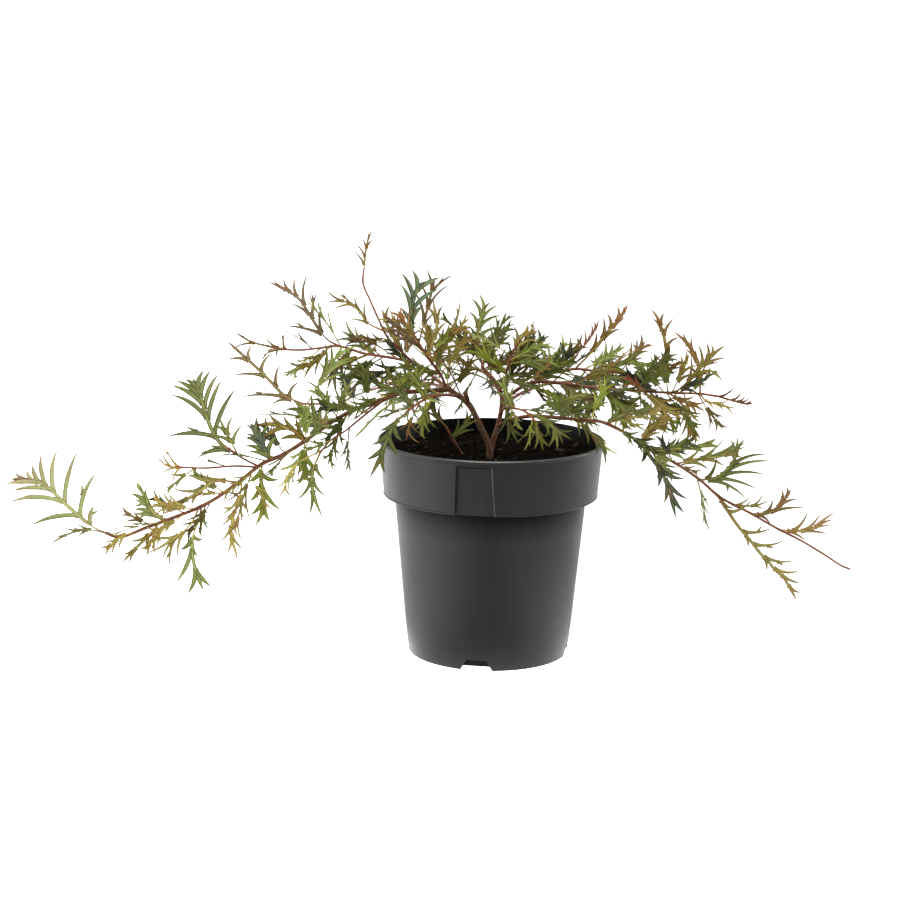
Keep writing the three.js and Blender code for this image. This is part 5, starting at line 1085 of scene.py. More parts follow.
def laid_leaf(look, stem_name, x, y, heading, length, along, across, pairs, width, shape_seed, chance, seed):
    """A plain leaf laid on the view: it stands at (x, y) on its stem and points along its heading."""
    stem = stems[stem_name]
    turn = math.radians(heading)
    rib, lobes = plain_leaf(length, pairs, draws(shape_seed))

    def put(p):
        px = x + (p[0] * math.cos(turn) - p[1] * math.sin(turn)) * UNITS_PER_MM
        py = y - (p[0] * math.sin(turn) + p[1] * math.cos(turn)) * UNITS_PER_MM
        return px, py

    parts = [(put(tip), put(root), [put(t) for t in teeth]) for tip, root, teeth in lobes]
    foot = nearest(stem["line"], x, y)["place"]
    flat_rib = [foot[:2], *(put(p) for p in rib[1:])]
    place = view_place(foot, flat_rib, along, across, curl_of(chance))
    Leaf(shell_of(leaves, stem["node"]), look, flat_rib, parts, width, UNITS_PER_MM, place, True, seed)


def standing_leaf(stem, part, turn, length, width, pairs, seed, look, sway, rise):
    """A leaf that stands out from a stem and forward along it, face up. sway is how far its face may turn."""
    draw = draws(seed)
    places = stem["places"]
    whole = part * (len(places) - 1)
    i = min(int(whole), len(places) - 2)
    foot = places[i].lerp(places[i + 1], whole - i)
    ahead = (places[i + 1] - places[i]).normalized()
    top = (Vector((0, 0, 1)) - ahead * ahead.z).normalized()
    spoke = Matrix.Rotation(math.radians(turn), 3, ahead) @ top
    u = (ahead * math.cos(rise) + spoke * math.sin(rise)).normalized()
    lift = Vector(((draw() - 0.5) * sway, (draw() - 0.5) * sway - 0.3, 1.0))
    w = (lift - u * lift.dot(u)).normalized()
    v = w.cross(u)
    rib, lobes = plain_leaf(length, pairs, draw)

    def place(x, y, h):
        up = BLADE_FOLD * abs(y) - LEAF_DROOP * x * x / length + h
        return tuple(foot + u * x + v * y + w * up)

    Leaf(shell_of(leaves, stem["node"]), look, rib, lobes, width, 1.0, place, False, seed + 7)


def looks_of(stem):
    """The colourings of a stem's plain leaves."""
    return NODE_LOOKS.get(stem["node"], FORK_LOOKS)


for index, entry in enumerate(LEAVES):
    table_leaf(index, *entry)

for i, (stem_name, *setting) in enumerate(PLAIN_LEAVES):
    choice = looks_of(stems[stem_name])
    look = choice[int(draws(PLAIN_LOOK_SEED + i)() * len(choice))]
    chance = draws(len(LEAVES) + i + 1)()
    shape_seed = PLAIN_SHAPE_SEED + i
    laid_leaf(look, stem_name, *setting, PLAIN_PAIRS, PLAIN_WIDTH, shape_seed, chance, PLAIN_SEED + i)

for i, entry in enumerate(MORE_LEAVES):
    laid_leaf(*entry, MORE_SHAPE_SEED + i, draws(MORE_CURL_SEED + i)(), MORE_SEED + i)

for row, (name, start, end, count, first, length) in enumerate(ROWS):
    stem = stems[name]
    choice = looks_of(stem)
    for i in range(count):
        part = start + (end - start) * i / max(count - 1, 1)
        long = length * (1.1 - 0.2 * part)
        seed = ROW_SEED + ROW_STEP * row + i
        look = choice[i % len(choice)]
        turn = first + SPIRAL * i
        standing_leaf(stem, part * 0.98, turn, long, ROW_WIDTH, ROW_PAIRS, seed, look, 0.9, LEAF_RISE)

for row, (name, start, end, space, length) in enumerate(FILLERS):
    stem = stems[name]
    reach = sum((b - a).length for a, b in zip(stem["places"], stem["places"][1:]))
    count = max(1, round(reach * (end - start) / space))
    choice = looks_of(stem)
    draw = draws(FILL_SEED + row)
    for i in range(count):
        part = start + (end - start) * (i + 0.7 * draw()) / count
        long = length * (0.7 + 0.6 * draw())
        look = choice[int(draw() * len(choice))]
        turn = SPIRAL * i + 50 * draw()
        rise = 0.45 + 0.5 * draw()
        seed = FILL_SEED + FILL_STEP * (row + 1) + i
        pairs = 3 if long > FILL_LONG else 2
        standing_leaf(stem, min(part, 0.99), turn, long, FILL_WIDTH, pairs, seed, look, 1.6, rise)


# Stems

def bark_tone(girth, age):
    """Bark's colour by a stem's radius in mm: reddish on a shoot, brown on old wood."""
    return mixed(YOUNG_BARK, OLD_BARK, age) if girth > 1.0 else mixed(SHOOT_BARK, YOUNG_BARK, girth)


def add_stem(name, stem):
    """A round stem along its line, swollen a little at each leaf's foot, and rounded off at its end."""
    places = stem["places"]
    count = len(places)
    sides = 12 if stem["thick"] > 2 else 9
    first, last = GIRTHS.get(name, (stem["thick"], stem["thin"]))
    phase = draws(len(name) * 31 + count)() * 6
    passed = [0.0]
    for _, _, length, _, _ in spans(stem["line"]):
        passed.append(passed[-1] + length)
    side = Vector((0.3, 1, 0.1)).cross(places[1] - places[0]).normalized()
    rings = []
    tints = []
    for i, (centre, s) in enumerate(zip(places, passed)):
        ahead = (places[min(i + 1, count - 1)] - places[max(i - 1, 0)]).normalized()
        side = (side - ahead * side.dot(ahead)).normalized()
        other = ahead.cross(side)
        swell = max([math.exp(-((s - foot) / 3.2) ** 2) for foot in stem["feet"]], default=0.0)
        girth = first + (last - first) * (i / (count - 1))
        girth = girth * (0.96 + 0.04 * math.sin(s * 0.21 + phase)) + 0.22 * swell
        age = min(1.0, max(0.0, (girth - 0.8) / 2.4))
        tone = bark_tone(girth, age)
        ring = []
        tint = []
        for k in range(sides):
            turn = 2 * math.pi * k / sides
            knot = 1.0 + 0.06 * math.sin(3 * turn + s * 0.13 + phase) * age
            spoke = side * math.cos(turn) + other * math.sin(turn)
            ring.append(tuple(centre + spoke * girth * knot))
            # Painted light and shade: the bark is lighter on a stem's top and darker on its underside.
            under = 0.5 - 0.5 * spoke.z
            mark = 0.9 + 0.2 * math.sin(s * 0.9 + 2 * turn + phase) * math.sin(s * 0.23)
            tint.append(tuple(c * mark * (1.15 - 0.6 * under) for c in tone))
        rings.append(ring)
        tints.append(tint)
    top = places[-1]
    end = top + (top - places[-2]).normalized() * stem["thin"] * 0.9
    rings.append([tuple(top + (Vector(p) - top) * 0.6 + (end - top) * 0.6) for p in rings[-1]])
    tints.append(tints[-1])
    shell_of(bark, stem["node"]).rings(rings, tints, False, tuple(end), tints[-1][0])


for name, stem in stems.items():
    add_stem(name, stem)


# Materials

class Nodes:
    """A node tree, and short ways to add nodes to it."""

    def __init__(self, tree):
        self.tree = tree

    def feed(self, socket, value):
        """Links another node's output to a socket, or sets the socket to a value."""
        if isinstance(value, bpy.types.NodeSocket):
            self.tree.links.new(value, socket)
        elif isinstance(value, tuple) and socket.type == "RGBA":
            socket.default_value = (*value, 1.0)
        else:
            socket.default_value = value

    def node(self, kind, settings=(), **inputs):
        """A new node. Its inputs are given by name, or by number after an underscore."""
        made = self.tree.nodes.new(kind)
        for key, value in dict(settings).items():
            setattr(made, key, value)
        for key, value in inputs.items():
            self.feed(made.inputs[key] if key in made.inputs else made.inputs[int(key.strip("_"))], value)
        return made

    def spread(self, value, low, high, start=0.3, end=0.7, curve="LINEAR"):
        """low where the value is start, high where it is end, and between them in between."""
        settings = {"interpolation_type": curve}
        made = self.node("ShaderNodeMapRange", settings, _0=value, _1=start, _2=end, _3=low, _4=high)
        return made.outputs[0]

    def sum(self, a, b):
        return self.node("ShaderNodeMath", {"operation": "ADD"}, _0=a, _1=b).outputs[0]

    def product(self, *values):
        total = values[0]
        for value in values[1:]:
            total = self.node("ShaderNodeMath", {"operation": "MULTIPLY"}, _0=total, _1=value).outputs[0]
        return total


class Look(Nodes):
    """A node material: a Principled shader, and the nodes that feed it."""

    def __init__(self, name):
        self.material = bpy.data.materials.new(name)
        self.material.use_nodes = True
        super().__init__(self.material.node_tree)
        self.shader = self.tree.nodes["Principled BSDF"]
        self.coord = self.tree.nodes.new("ShaderNodeTexCoord").outputs["Object"]

    def set(self, socket, value):
        self.feed(self.shader.inputs[socket], value)

    def noise(self, scale, detail=3.0, rough=0.6, vector=None):
        vector = vector or self.coord
        made = self.node("ShaderNodeTexNoise", Vector=vector, Scale=scale, Detail=detail, Roughness=rough)
        return made.outputs["Fac"]

    def mix(self, a, b, factor, blend="MIX"):
        made = self.node("ShaderNodeMix", {"data_type": "RGBA", "blend_type": blend}, _0=factor, _6=a, _7=b)
        return made.outputs[2]

    def tint(self):
        return self.node("ShaderNodeAttribute", {"attribute_name": "tint"}).outputs["Color"]

    def bump(self, height, strength, distance):
        made = self.node("ShaderNodeBump", Strength=strength, Distance=distance, Height=height)
        self.set("Normal", made.outputs[0])


def foliage_look():
    look = Look("foliage")
    fine = look.noise(620.0, 4.0)
    broad = look.noise(75.0, 2.0)
    mottled = look.mix(look.tint(), grey(0.6), look.spread(fine, 0.0, 0.3), "MULTIPLY")
    look.set("Base Color", look.mix(mottled, linear("8a5434"), look.spread(broad, 0.0, 0.3, 0.5, 0.8)))
    look.set("Roughness", look.spread(fine, 0.42, 0.58))
    look.bump(fine, 0.25, 0.0003)
    look.set("Specular IOR Level", 0.14)
    look.set("Subsurface Weight", 0.08)
    look.set("Subsurface Radius", (0.002, 0.003, 0.001))
    return look.material


def bark_look():
    look = Look("bark")
    grain = look.noise(380.0, 5.0, 0.7)
    patches = look.noise(60.0, 3.0)
    dark = look.mix(look.tint(), grey(0.45), look.spread(grain, 0.0, 0.5), "MULTIPLY")
    look.set("Base Color", look.mix(dark, linear("8e6a50"), look.spread(patches, 0.0, 0.25, 0.52, 0.75)))
    look.set("Roughness", look.spread(grain, 0.45, 0.65))
    look.bump(grain, 0.5, 0.0005)
    look.set("Specular IOR Level", 0.25)
    return look.material


def soil_look():
    look = Look("potting_mix")
    grain = look.noise(420.0, 6.0, 0.7)
    lumps = look.noise(120.0, 4.0)
    dark = look.mix(look.tint(), grey(0.35), look.spread(grain, 0.0, 0.8), "MULTIPLY")
    look.set("Base Color", look.mix(dark, linear("0b0806"), look.spread(lumps, 0.0, 0.6, 0.42, 0.62)))
    look.set("Roughness", look.spread(grain, 0.85, 1.0))
    look.bump(grain, 0.9, 0.0012)
    look.set("Specular IOR Level", 0.02)
    return look.material


def core_look():
    look = Look("soil_core")
    grain = look.noise(300.0, 5.0, 0.7)
    look.set("Base Color", look.mix(linear("0b0806"), linear("16100c"), look.spread(grain, 0.0, 1.0)))
    look.set("Roughness", 0.95)
    look.bump(grain, 0.8, 0.001)
    return look.material


def pot_look(name, low, high, shine, smooth=0.39):
    """Moulded plastic: two greys that cloud into each other, dust in upright streaks, and a fine grain."""
    look = Look(name)
    fine = look.noise(1500.0, 2.0)
    cloud = look.noise(22.0, 3.0)
    stretch = look.node("ShaderNodeMapping", Vector=look.coord, Scale=(1.0, 1.0, 0.12))
    streaks = look.noise(95.0, 3.0, 0.6, stretch.outputs[0])
    base = look.mix(linear(low), linear(high), look.spread(cloud, 0.0, 1.0))
    look.set("Base Color", look.mix(base, linear("2a2928"), look.spread(streaks, 0.0, 0.16, 0.55, 0.75)))
    look.set("Roughness", look.spread(cloud, smooth, smooth + 0.06))
    look.bump(fine, 0.12, 0.0002)
    look.set("Specular IOR Level", shine)
    return look.material


def neck_shadow_look(k):
    """The plastic in one band below the collar, darker and less shiny as painted shadow, from the darkest one
    on top.
    """
    part = (k + 0.5) / NECK_BANDS
    low = "%02x" % round(9.5 + 3.5 * part) * 3
    high = "%02x" % round(13.5 + 4.5 * part) * 3
    return pot_look("pot_plastic_neck_%d" % k, low, high, 0.04 + 0.0058 * NECK_STEP * (k + 0.5))


FOLIAGE = foliage_look()
BARK = bark_look()
SOIL = soil_look()
# The pot's looks: its plastic; a darker, less shiny one inside as painted shade; a paler, shinier one as a
# painted highlight; and bands of painted shadow below the collar.
POT_LOOKS = [
    pot_look("pot_plastic", "0d0d0d", "121212", 0.2),
    pot_look("pot_plastic_inside_shaded", "0b0b0b", "0f0f0f", 0.07),
    pot_look("pot_plastic_painted_highlight", "3c3c3c", "464646", 0.4, 0.3),
    *(neck_shadow_look(k) for k in range(NECK_BANDS)),
]
OUTSIDE, INSIDE_SHADE, PAINTED_HIGHLIGHT, NECK_SHADOW = range(4)

for node, shell in leaves.items():
    piece = shell.make(node + "_leaves", FOLIAGE, 0.75)
    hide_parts(node)
for node, shell in bark.items():
    piece = shell.make(node + "_wood" if node != "woody_stems" else "woody_stems_bark", BARK, 1.2)
    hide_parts(node)


# Pot

def placed(made, name):
    """A new object for a mesh that has been built."""
    mesh = bpy.data.meshes.new(name)
    made.to_mesh(mesh)
    made.free()
    obj = bpy.data.objects.new(name, mesh)
    bpy.context.collection.objects.link(obj)
    return obj


def lathe(profile, segments, name):
    """A closed solid turned from (radius, height) pairs in mm. The profile starts and ends on the axis."""
    made = bmesh.new()
    columns = []
    for k in range(segments):
        turn = 2 * math.pi * k / segments
        ring = [(r * math.cos(turn) * MM, r * math.sin(turn) * MM, z * MM) for r, z in profile[1:-1]]
        columns.append([made.verts.new(p) for p in ring])
    first = made.verts.new((0, 0, profile[0][1] * MM))
    last = made.verts.new((0, 0, profile[-1][1] * MM))
    for a, b in zip(columns, columns[1:] + columns[:1]):
        made.faces.new((first, b[0], a[0]))
        for i in range(len(a) - 1):
            made.faces.new((a[i], b[i], b[i + 1], a[i + 1]))
        made.faces.new((last, a[-1], b[-1]))
    bmesh.ops.recalc_face_normals(made, faces=made.faces)
    return placed(made, name)


def combine(obj, other, operation):
    """Joins another closed solid to an object, or cuts it away, and removes the other."""
    modifier = obj.modifiers.new("cut", "BOOLEAN")
    modifier.operation = operation
    modifier.solver = "EXACT"
    modifier.object = other
    bpy.context.view_layer.update()
    result = bpy.data.meshes.new_from_object(obj.evaluated_get(bpy.context.evaluated_depsgraph_get()))
    obj.modifiers.clear()
    old = obj.data
    obj.data = result
    bpy.data.meshes.remove(old)
    bpy.data.objects.remove(other)


def collar_radius(height):
    return COLLAR_BOTTOM_RADIUS + COLLAR_SLOPE * (height - COLLAR_BOTTOM)


def body_radius(height):
    return FOOT_RADIUS + (BODY_TOP_RADIUS - FOOT_RADIUS) * height / COLLAR_BOTTOM


def panel_box(name, width, bottom, top, outer, inner, draft=0.0, shift=0.0, lean=(0.0, 0.0)):
    """A box let into the collar's face or set behind it: outer and inner are distances from the panel's face.

    With a draft its sides and top widen as they come out. lean moves the tops of its left and right sides.
    """
    made = bmesh.new()
    bmesh.ops.create_cube(made, size=1.0)
    radius = (COLLAR_BOTTOM_RADIUS + COLLAR_TOP_RADIUS) / 2 - PANEL_DEPTH
    for vert in made.verts:
        if vert.co.z > 0:
            vert.co.x += lean[1 if vert.co.x > 0 else 0] / width
        if vert.co.y < 0:
            vert.co.x *= 1 + 2 * draft * (outer - inner) / width
            vert.co.z += (draft * (outer - inner) / (top - bottom)) if vert.co.z > 0 else 0.0
    size = Matrix.Diagonal((width * MM, (outer - inner) * MM, (top - bottom) * MM, 1.0))
    out = Matrix.Translation((0, -(outer + inner) / 2 * MM, 0))
    tilt = Matrix.Rotation(math.atan(COLLAR_SLOPE), 4, "X")
    height = (bottom + top) / 2
    middle = (COLLAR_BOTTOM + POT_HEIGHT) / 2
    move = Matrix.Translation((shift * MM, -(radius + COLLAR_SLOPE * (height - middle)) * MM, height * MM))
    turn = Matrix.Rotation(math.radians(PANEL_ANGLE), 4, "Z")
    made.transform(turn @ move @ tilt @ out @ size)
    return placed(made, name)


def pocket(name, turn, bottom, start, end, swell):
    """A prism of a trapezoid, wide at its foot, that runs outwards from one radius to another."""
    flare = (NOTCH_FOOT_WIDTH - NOTCH_TOP_WIDTH) / 2 / NOTCH_HEIGHT
    foot = NOTCH_FOOT_WIDTH / 2 + swell - flare * bottom
    top = NOTCH_TOP_WIDTH / 2 + swell
    shape = [(-foot, bottom), (foot, bottom), (top, NOTCH_HEIGHT + swell), (-top, NOTCH_HEIGHT + swell)]
    made = bmesh.new()
    near = [made.verts.new((x * MM, -start * MM, z * MM)) for x, z in shape]
    far = [made.verts.new((x * MM, -end * MM, z * MM)) for x, z in shape]
    made.faces.new(near)
    made.faces.new(far)
    for k in range(4):
        made.faces.new((near[k], near[(k + 1) % 4], far[(k + 1) % 4], far[k]))
    bmesh.ops.recalc_face_normals(made, faces=made.faces)
    made.transform(Matrix.Rotation(turn, 4, "Z"))
    return placed(made, name)


def corner(radius, height, rounding, start, end, steps):
    """Points round a corner of the profile, from one angle in degrees to another."""
    points = []
    for i in range(steps + 1):
        turn = math.radians(start + (end - start) * i / steps)
        points.append((radius + rounding * math.cos(turn), height + rounding * math.sin(turn)))
    return points


def neck():
    """The body's outline below the collar, which draws in as it nears it."""
    points = []
    for k in range(NECK_BANDS, -1, -1):
        below = NECK_STEP * k
        cut = NECK_CUT * max(0.0, 1.0 - below / NECK_REACH) ** 2
        points.append((body_radius(COLLAR_BOTTOM - below) - cut, COLLAR_BOTTOM - below))
    return points


def pot_profile():
    """The pot's outline: foot, body, neck, collar, lip, and the inside down to its floor."""
    lip = POT_HEIGHT - LIP_RADIUS
    inner = collar_radius(POT_HEIGHT) - WALL
    return [
        (0, 0.0),
        (FOOT_RADIUS - FOOT_FLAT, 0.0),
        *corner(FOOT_RADIUS - FOOT_ROUNDING, FOOT_ROUNDING, FOOT_ROUNDING, -90, 0, 6),
        *((body_radius(COLLAR_BOTTOM * part), COLLAR_BOTTOM * part) for part in BODY_PARTS),
        *neck(),
        *corner(COLLAR_BOTTOM_RADIUS - 0.3, COLLAR_BOTTOM + 0.7, 0.7, -90, 0, 4),
        (COLLAR_BOTTOM_RADIUS + 0.4, COLLAR_BOTTOM + 1.2),
        (COLLAR_BOTTOM_RADIUS + 0.1, COLLAR_BOTTOM + 1.6),
        *((collar_radius(h), h) for h in COLLAR_HEIGHTS),
        *corner(RIM_RADIUS - LIP_ROUNDING, lip, LIP_ROUNDING, -50, 42, 6),
        *corner(RIM_RADIUS - 1.5, lip + 0.6, LIP_ROUNDING, 48, 90, 3),
        *corner(inner + 1.0, POT_HEIGHT - 1.0, 1.0, 90, 180, 4),
        (collar_radius(LEDGE) - WALL, LEDGE),
        (body_radius(LEDGE) - WALL, LEDGE),
        (body_radius(FLOOR_THICKNESS) - WALL, FLOOR_THICKNESS),
        (0, FLOOR_THICKNESS),
    ]


def cut_panel(pot):
    """The flat panel on the collar: its backing, its recess, its edges, a groove on its left, and the lip."""
    foot = COLLAR_BOTTOM - WALL
    head = POT_HEIGHT - PANEL_HEADROOM
    left, right = PANEL_LEAN
    edge = (PANEL_WIDTH / 2 + 2.0 * PANEL_DRAFT) * 2
    groove = (PANEL_GROOVE - PANEL_WIDTH) / 2
    top = PANEL_WIDTH + right - left
    middle = (left + right) / 2
    back = panel_box("panel_back", PANEL_WIDTH + PANEL_FRAME, LEDGE, POT_HEIGHT - PANEL_FRAME, 0.0, -WALL)
    combine(pot, back, "UNION")
    cuts = [
        panel_box("panel_cut", PANEL_WIDTH, foot, head, BEYOND, 0.0, draft=PANEL_DRAFT, lean=PANEL_LEAN),
        panel_box("panel_edge", edge, foot, head, 7.0, 2.0, draft=PANEL_EDGE_DRAFT, lean=PANEL_LEAN),
        panel_box("panel_groove", PANEL_GROOVE, LEDGE + 1.0, head, 1.0, -1.1,
                  shift=groove, lean=(left, left)),
        panel_box("panel_top", top, head - 1.5, head + 0.5, 1.0, -0.9, shift=middle),
        panel_box("lip_cut", PANEL_WIDTH, POT_HEIGHT - 4.0, POT_HEIGHT + 3.0, 20.0, PANEL_DEPTH + 2.6),
    ]
    for cut in cuts:
        combine(pot, cut, "DIFFERENCE")


def cut_notches(pot):
    """The drain notches in the foot, each with a wall behind it."""
    inside = FOOT_RADIUS - NOTCH_REACH
    for k in range(NOTCH_COUNT):
        turn = math.radians(PANEL_ANGLE) + 2 * math.pi * k / NOTCH_COUNT
        wall = pocket("pocket_wall", turn, NOTCH_WALL_BOTTOM, inside - WALL, FOOT_RADIUS - WALL, WALL)
        combine(pot, wall, "UNION")
        combine(pot, pocket("pocket_cut", turn, -BEYOND, inside, FOOT_RADIUS + BEYOND, 0.0), "DIFFERENCE")


def plastic_at(centre, normal):
    """Which of the pot's looks a face takes, from its centre and normal."""
    x, y, z = (c / MM for c in centre)
    out = math.hypot(x, y)
    below = COLLAR_BOTTOM - z
    inward = normal.x * x + normal.y * y < 0.0
    # The insides of the pot and of its notches take darker, less shiny plastic as painted shade.
    if z > FLOOR_THICKNESS and out > 60.0 and inward:
        return INSIDE_SHADE
    if z < NOTCH_HEIGHT + 0.5 and out < FOOT_RADIUS - 2.5:
        return INSIDE_SHADE
    # The lip's top takes paler, shinier plastic as a painted highlight.
    if z > POT_HEIGHT - 1.8 and normal.z > 0.5 and out > RIM_RADIUS - 2.0:
        return PAINTED_HIGHLIGHT
    # So does the wall of the panel's recess that faces left: a painted highlight.
    if z > LEDGE and normal.x < -0.42 and y < 0.0 and abs(x) < 30.0:
        return PAINTED_HIGHLIGHT
    # Faces just below the collar take the bands of painted shadow.
    if 0.0 < below < NECK_STEP * NECK_BANDS and abs(normal.z) < 0.5:
        return NECK_SHADOW + int(below / NECK_STEP)
    return OUTSIDE


def make_pot():
    """The whole pot as one piece, smooth but for its edges, with a look for each face."""
    pot = lathe(pot_profile(), POT_SIDES, "pot_shell")
    cut_panel(pot)
    cut_notches(pot)
    mesh = pot.data
    mesh.polygons.foreach_set("use_smooth", [True] * len(mesh.polygons))
    mesh.set_sharp_from_angle(angle=0.6)
    mesh.materials.clear()
    for look in POT_LOOKS:
        mesh.materials.append(look)
    for face in mesh.polygons:
        face.material_index = plastic_at(face.center, face.normal)
    return pot


pot = make_pot()
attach(pot, "root")
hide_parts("pot")


# Soil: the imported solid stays, under a crust of lumps and bark chips.

CHIP_CORNERS = [(-1, -0.7, -1), (1, -0.9, -1), (1.1, 0.8, -1), (-0.9, 1, -1), (-0.8, -0.8, 1), (0.9, -0.6, 1),
                (0.8, 0.7, 1), (-1, 0.6, 1)]
CHIP_FACES = [(3, 2, 1, 0), (4, 5, 6, 7), (0, 1, 5, 4), (1, 2, 6, 5), (2, 3, 7, 6), (3, 0, 4, 7)]


def crust_height(x, y):
    """The crust's height in mm: slow swells, lumps of about 8 mm and grit, always above the packed soil."""
    swell = 1.3 * math.sin(x * 0.11 + 1) * math.cos(y * 0.13) + 0.65 * math.sin(x * 0.31 - y * 0.27)
    lumps = 0.9 * math.sin(x * 0.83 + 2.1 * math.sin(y * 0.41))
    lumps *= math.sin(y * 0.77 + 1.7 * math.sin(x * 0.36))
    grit = 0.45 * math.sin(x * 2.3 + y * 1.1) * math.sin(y * 2.6 - x * 0.9)
    return SOIL_TOP + max(0.4 + 0.3 * grit, 1.5 + 0.7 * swell + lumps + grit)


def soil_edge(turn):
    """How far the soil reaches at an angle: to the collar's wall, or to the back of its panel."""
    wall = collar_radius(SOIL_TOP) - WALL - SOIL_SIDE_GAP
    off = turn - math.radians(PANEL_ANGLE - 90)
    back = (COLLAR_BOTTOM_RADIUS + COLLAR_TOP_RADIUS) / 2 - PANEL_DEPTH - WALL + 0.4
    flat = back / math.cos(off) if math.cos(off) > 0.9 else wall
    return min(wall, flat) if flat * abs(math.sin(off)) < PANEL_WIDTH / 2 + 2.0 else wall


def crust():
    """The rough top of the soil, in rings from its middle to the wall, with a skirt and a flat bottom."""
    shell = Shell()
    draw = draws(CRUST_SEED)
    rows = []
    for i in range(CRUST_RINGS + 1):
        row = []
        for k in range(CRUST_SIDES if i else 1):
            turn = 2 * math.pi * (k + 0.5 * (i % 2)) / CRUST_SIDES
            edge = soil_edge(turn)
            radius = edge * i / CRUST_RINGS
            x, y = radius * math.cos(turn), radius * math.sin(turn)
            drop = 2.4 * max(0.0, (radius - 0.93 * edge) / (0.07 * edge)) ** 2
            jitter = (draw() - 0.5) * 0.9
            row.append(len(shell.points))
            shell.points.append((x, y, crust_height(x, y) - drop + jitter))
            shell.tints.append(mixed(DARK_SOIL, BROWN_SOIL, draw()))
        rows.append(row)
    foot = []
    for index in rows[-1]:
        x, y, _ = shell.points[index]
        foot.append(len(shell.points))
        shell.points.append((x * 0.985, y * 0.985, SOIL_TOP - CRUST_SKIRT))
        shell.tints.append(DARK_SOIL)
    for k in range(CRUST_SIDES):
        n = (k + 1) % CRUST_SIDES
        shell.faces.append((rows[0][0], rows[1][k], rows[1][n]))
        for row, outer in zip(rows[1:], rows[2:] + [foot]):
            shell.faces.append((row[k], outer[k], outer[n], row[n]))
    shell.faces.append(tuple(reversed(foot)))
    return shell


def add_chips(shell, count, seed, small, large):
    """Flat, angular chips of bark, from a small size in mm to a large one, strewn on the crust."""
    draw = draws(seed)
    for _ in range(count):
        reach = math.sqrt(draw())
        turn = 2 * math.pi * draw()
        radius = (soil_edge(turn) - CHIP_MARGIN) * reach
        x, y = radius * math.cos(turn), radius * math.sin(turn)
        size = small + (large - small) * draw() ** 2
        scale = Vector((size, size * (0.35 + 0.4 * draw()), size * (0.22 + 0.25 * draw())))
        spin = Matrix.Rotation(2 * math.pi * draw(), 3, "Z") @ Matrix.Rotation((draw() - 0.5) * 1.2, 3, "X")
        spin = spin @ Matrix.Rotation((draw() - 0.5) * 0.9, 3, "Y")
        centre = Vector((x, y, crust_height(x, y) + scale.z * 0.2))
        tint = mixed(DARK_SOIL, PALE_CHIP if draw() > 1.0 - PALE_CHIP_SHARE else RED_CHIP, draw())
        start = len(shell.points)
        for place in CHIP_CORNERS:
            point = Vector(place) * 0.5 * (0.82 + 0.36 * draw())
            shell.points.append(tuple(centre + spin @ (point * scale)))
            shell.tints.append(tuple(c * (0.8 + 0.4 * draw()) for c in tint))
        shell.faces.extend(tuple(start + k for k in face) for face in CHIP_FACES)


crust_piece = crust().make("soil_crust", SOIL, 3.1)
chip_shell = Shell()
add_chips(chip_shell, *SMALL_CHIPS)
add_chips(chip_shell, *LARGE_CHIPS)
chip_piece = chip_shell.make("bark_chips", SOIL, 0.5)
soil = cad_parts["soil"]
soil.data.materials.clear()
soil.data.materials.append(core_look())


# Floor, lights and camera

FLOOR_HALF = 40.0
WHITE = (1.0, 1.0, 1.0)

# Each light: its name, its place and what it points at, its width and height, all in metres, and its power.
LIGHTS = [
    ("left_light", (-2.3, -0.35, 0.7), (0, 0, 0.12), (2.4, 1.5), 55.0),
    ("right_light", (2.3, 0.4, 0.9), (0, 0, 0.15), (1.4, 1.5), 64.0),
    ("top_light", (-0.2, -0.7, 3.0), (0, 0, 0.1), (2.0, 2.0), 92.0),
]


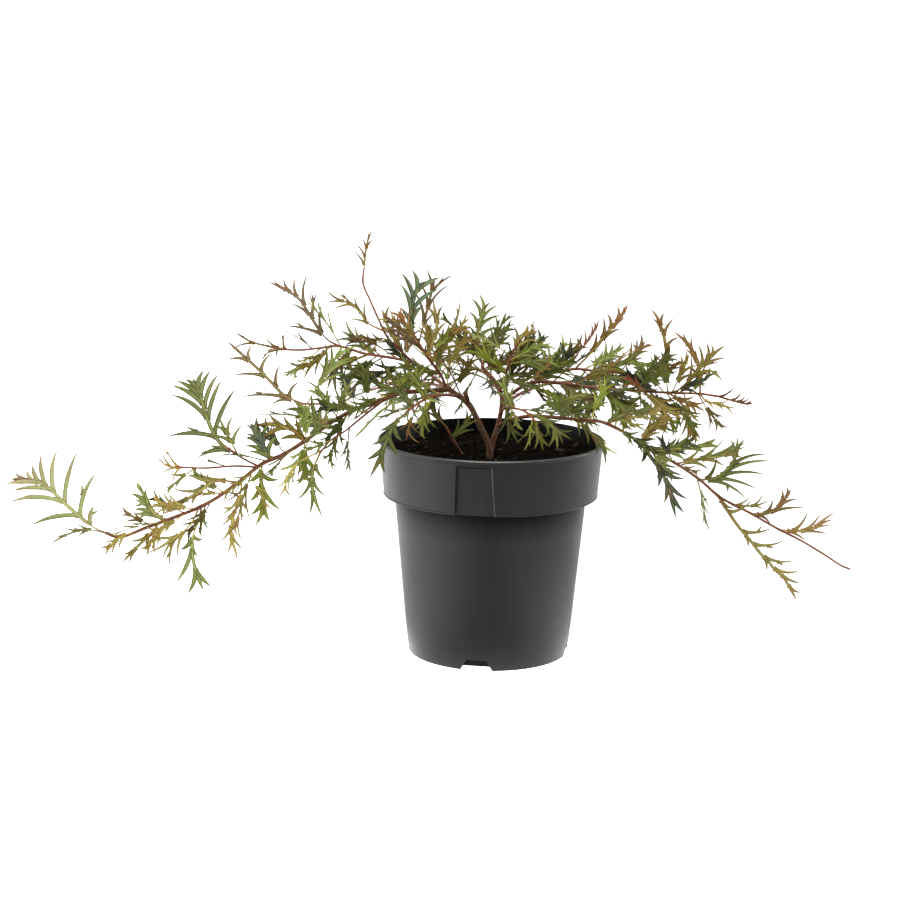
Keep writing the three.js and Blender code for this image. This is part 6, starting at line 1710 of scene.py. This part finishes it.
def floor_look():
    """A pale floor that glows, more at its left and right, beside the pot and under it, not far in front."""
    look = Look("floor_white")
    look.set("Base Color", look.mix(grey(0.5), grey(0.52), look.noise(40.0, 2.0)))
    look.set("Roughness", 0.9)
    look.set("Emission Color", WHITE)
    x, y, _ = look.node("ShaderNodeSeparateXYZ", _0=look.coord).outputs
    away = look.node("ShaderNodeVectorMath", {"operation": "LENGTH"}, _0=look.coord).outputs["Value"]
    off = look.node("ShaderNodeMath", {"operation": "ABSOLUTE"}, _0=x).outputs[0]
    everywhere = look.spread(away, 0.66, 1.0, 0.4, 1.3)
    left = look.spread(x, 1.9, 0.0, -0.5, -0.1)
    right = look.spread(x, 0.0, 0.15, 0.3, 0.6)
    close = look.sum(look.spread(away, 0.9, 0.0, 0.14, 0.28), 1.0)
    beside = look.product(look.spread(off, 0.0, 1.0, 0.05, 0.13), close)
    before = look.product(look.spread(y, 1.0, 0.0, -0.02, 0.1), look.spread(x, 1.0, 0.15, 0.2, 0.38))
    under = look.spread(away, 2.4, 0.0, 0.075, 0.115)
    glow = everywhere
    for part in (left, right, look.product(beside, before), under):
        glow = look.sum(glow, part)
    look.set("Emission Strength", look.product(glow, look.spread(y, 0.0, 1.0, -0.8, -0.65)))
    return look.material


def add_floor():
    mesh = bpy.data.meshes.new("floor")
    corners = [(-1, -1), (1, -1), (1, 1), (-1, 1)]
    mesh.from_pydata([(x * FLOOR_HALF, y * FLOOR_HALF, 0.0) for x, y in corners], [], [(0, 1, 2, 3)])
    mesh.materials.append(floor_look())
    floor_piece = bpy.data.objects.new("floor", mesh)
    bpy.context.collection.objects.link(floor_piece)


def area_light(name, place, target, size, power):
    data = bpy.data.lights.new(name, "AREA")
    data.shape = "RECTANGLE"
    data.size, data.size_y = size
    data.energy = power
    made = bpy.data.objects.new(name, data)
    made.location = place
    made.rotation_euler = (Vector(target) - Vector(place)).to_track_quat("-Z", "Y").to_euler()
    bpy.context.collection.objects.link(made)


def light_studio():
    """The studio round it: a white band behind the pot, dimmer above, and dark behind the eye."""
    world = bpy.data.worlds.new("studio")
    bpy.context.scene.world = world
    world.use_nodes = True
    sky = Nodes(world.node_tree)
    coord = sky.node("ShaderNodeTexCoord").outputs["Generated"]
    _, y, z = sky.node("ShaderNodeSeparateXYZ", _0=coord).outputs
    rear = sky.spread(y, 0.0, 1.0, -0.85, 0.25, "SMOOTHSTEP")
    band = sky.spread(z, 1.05, 0.4, 0.04, 0.22, "SMOOTHSTEP")
    background = sky.tree.nodes["Background"].inputs
    sky.feed(background["Color"], WHITE)
    sky.feed(background["Strength"], sky.sum(sky.product(rear, band), 0.12))


def add_camera():
    """The camera at the view's eye point."""
    data = bpy.data.cameras.new("camera")
    data.sensor_width = 36.0
    data.lens = FOCAL / VIEW_SIZE * data.sensor_width
    data.clip_end = 50.0
    camera = bpy.data.objects.new("camera", data)
    bpy.context.collection.objects.link(camera)
    axes = Matrix((RIGHT, UP, -FORWARD)).transposed().to_4x4()
    camera.matrix_world = Matrix.Translation([c * MM for c in EYE]) @ axes
    bpy.context.scene.camera = camera


add_floor()
for light in LIGHTS:
    area_light(*light)
light_studio()
add_camera()
bpy.context.scene.view_settings.view_transform = "Standard"
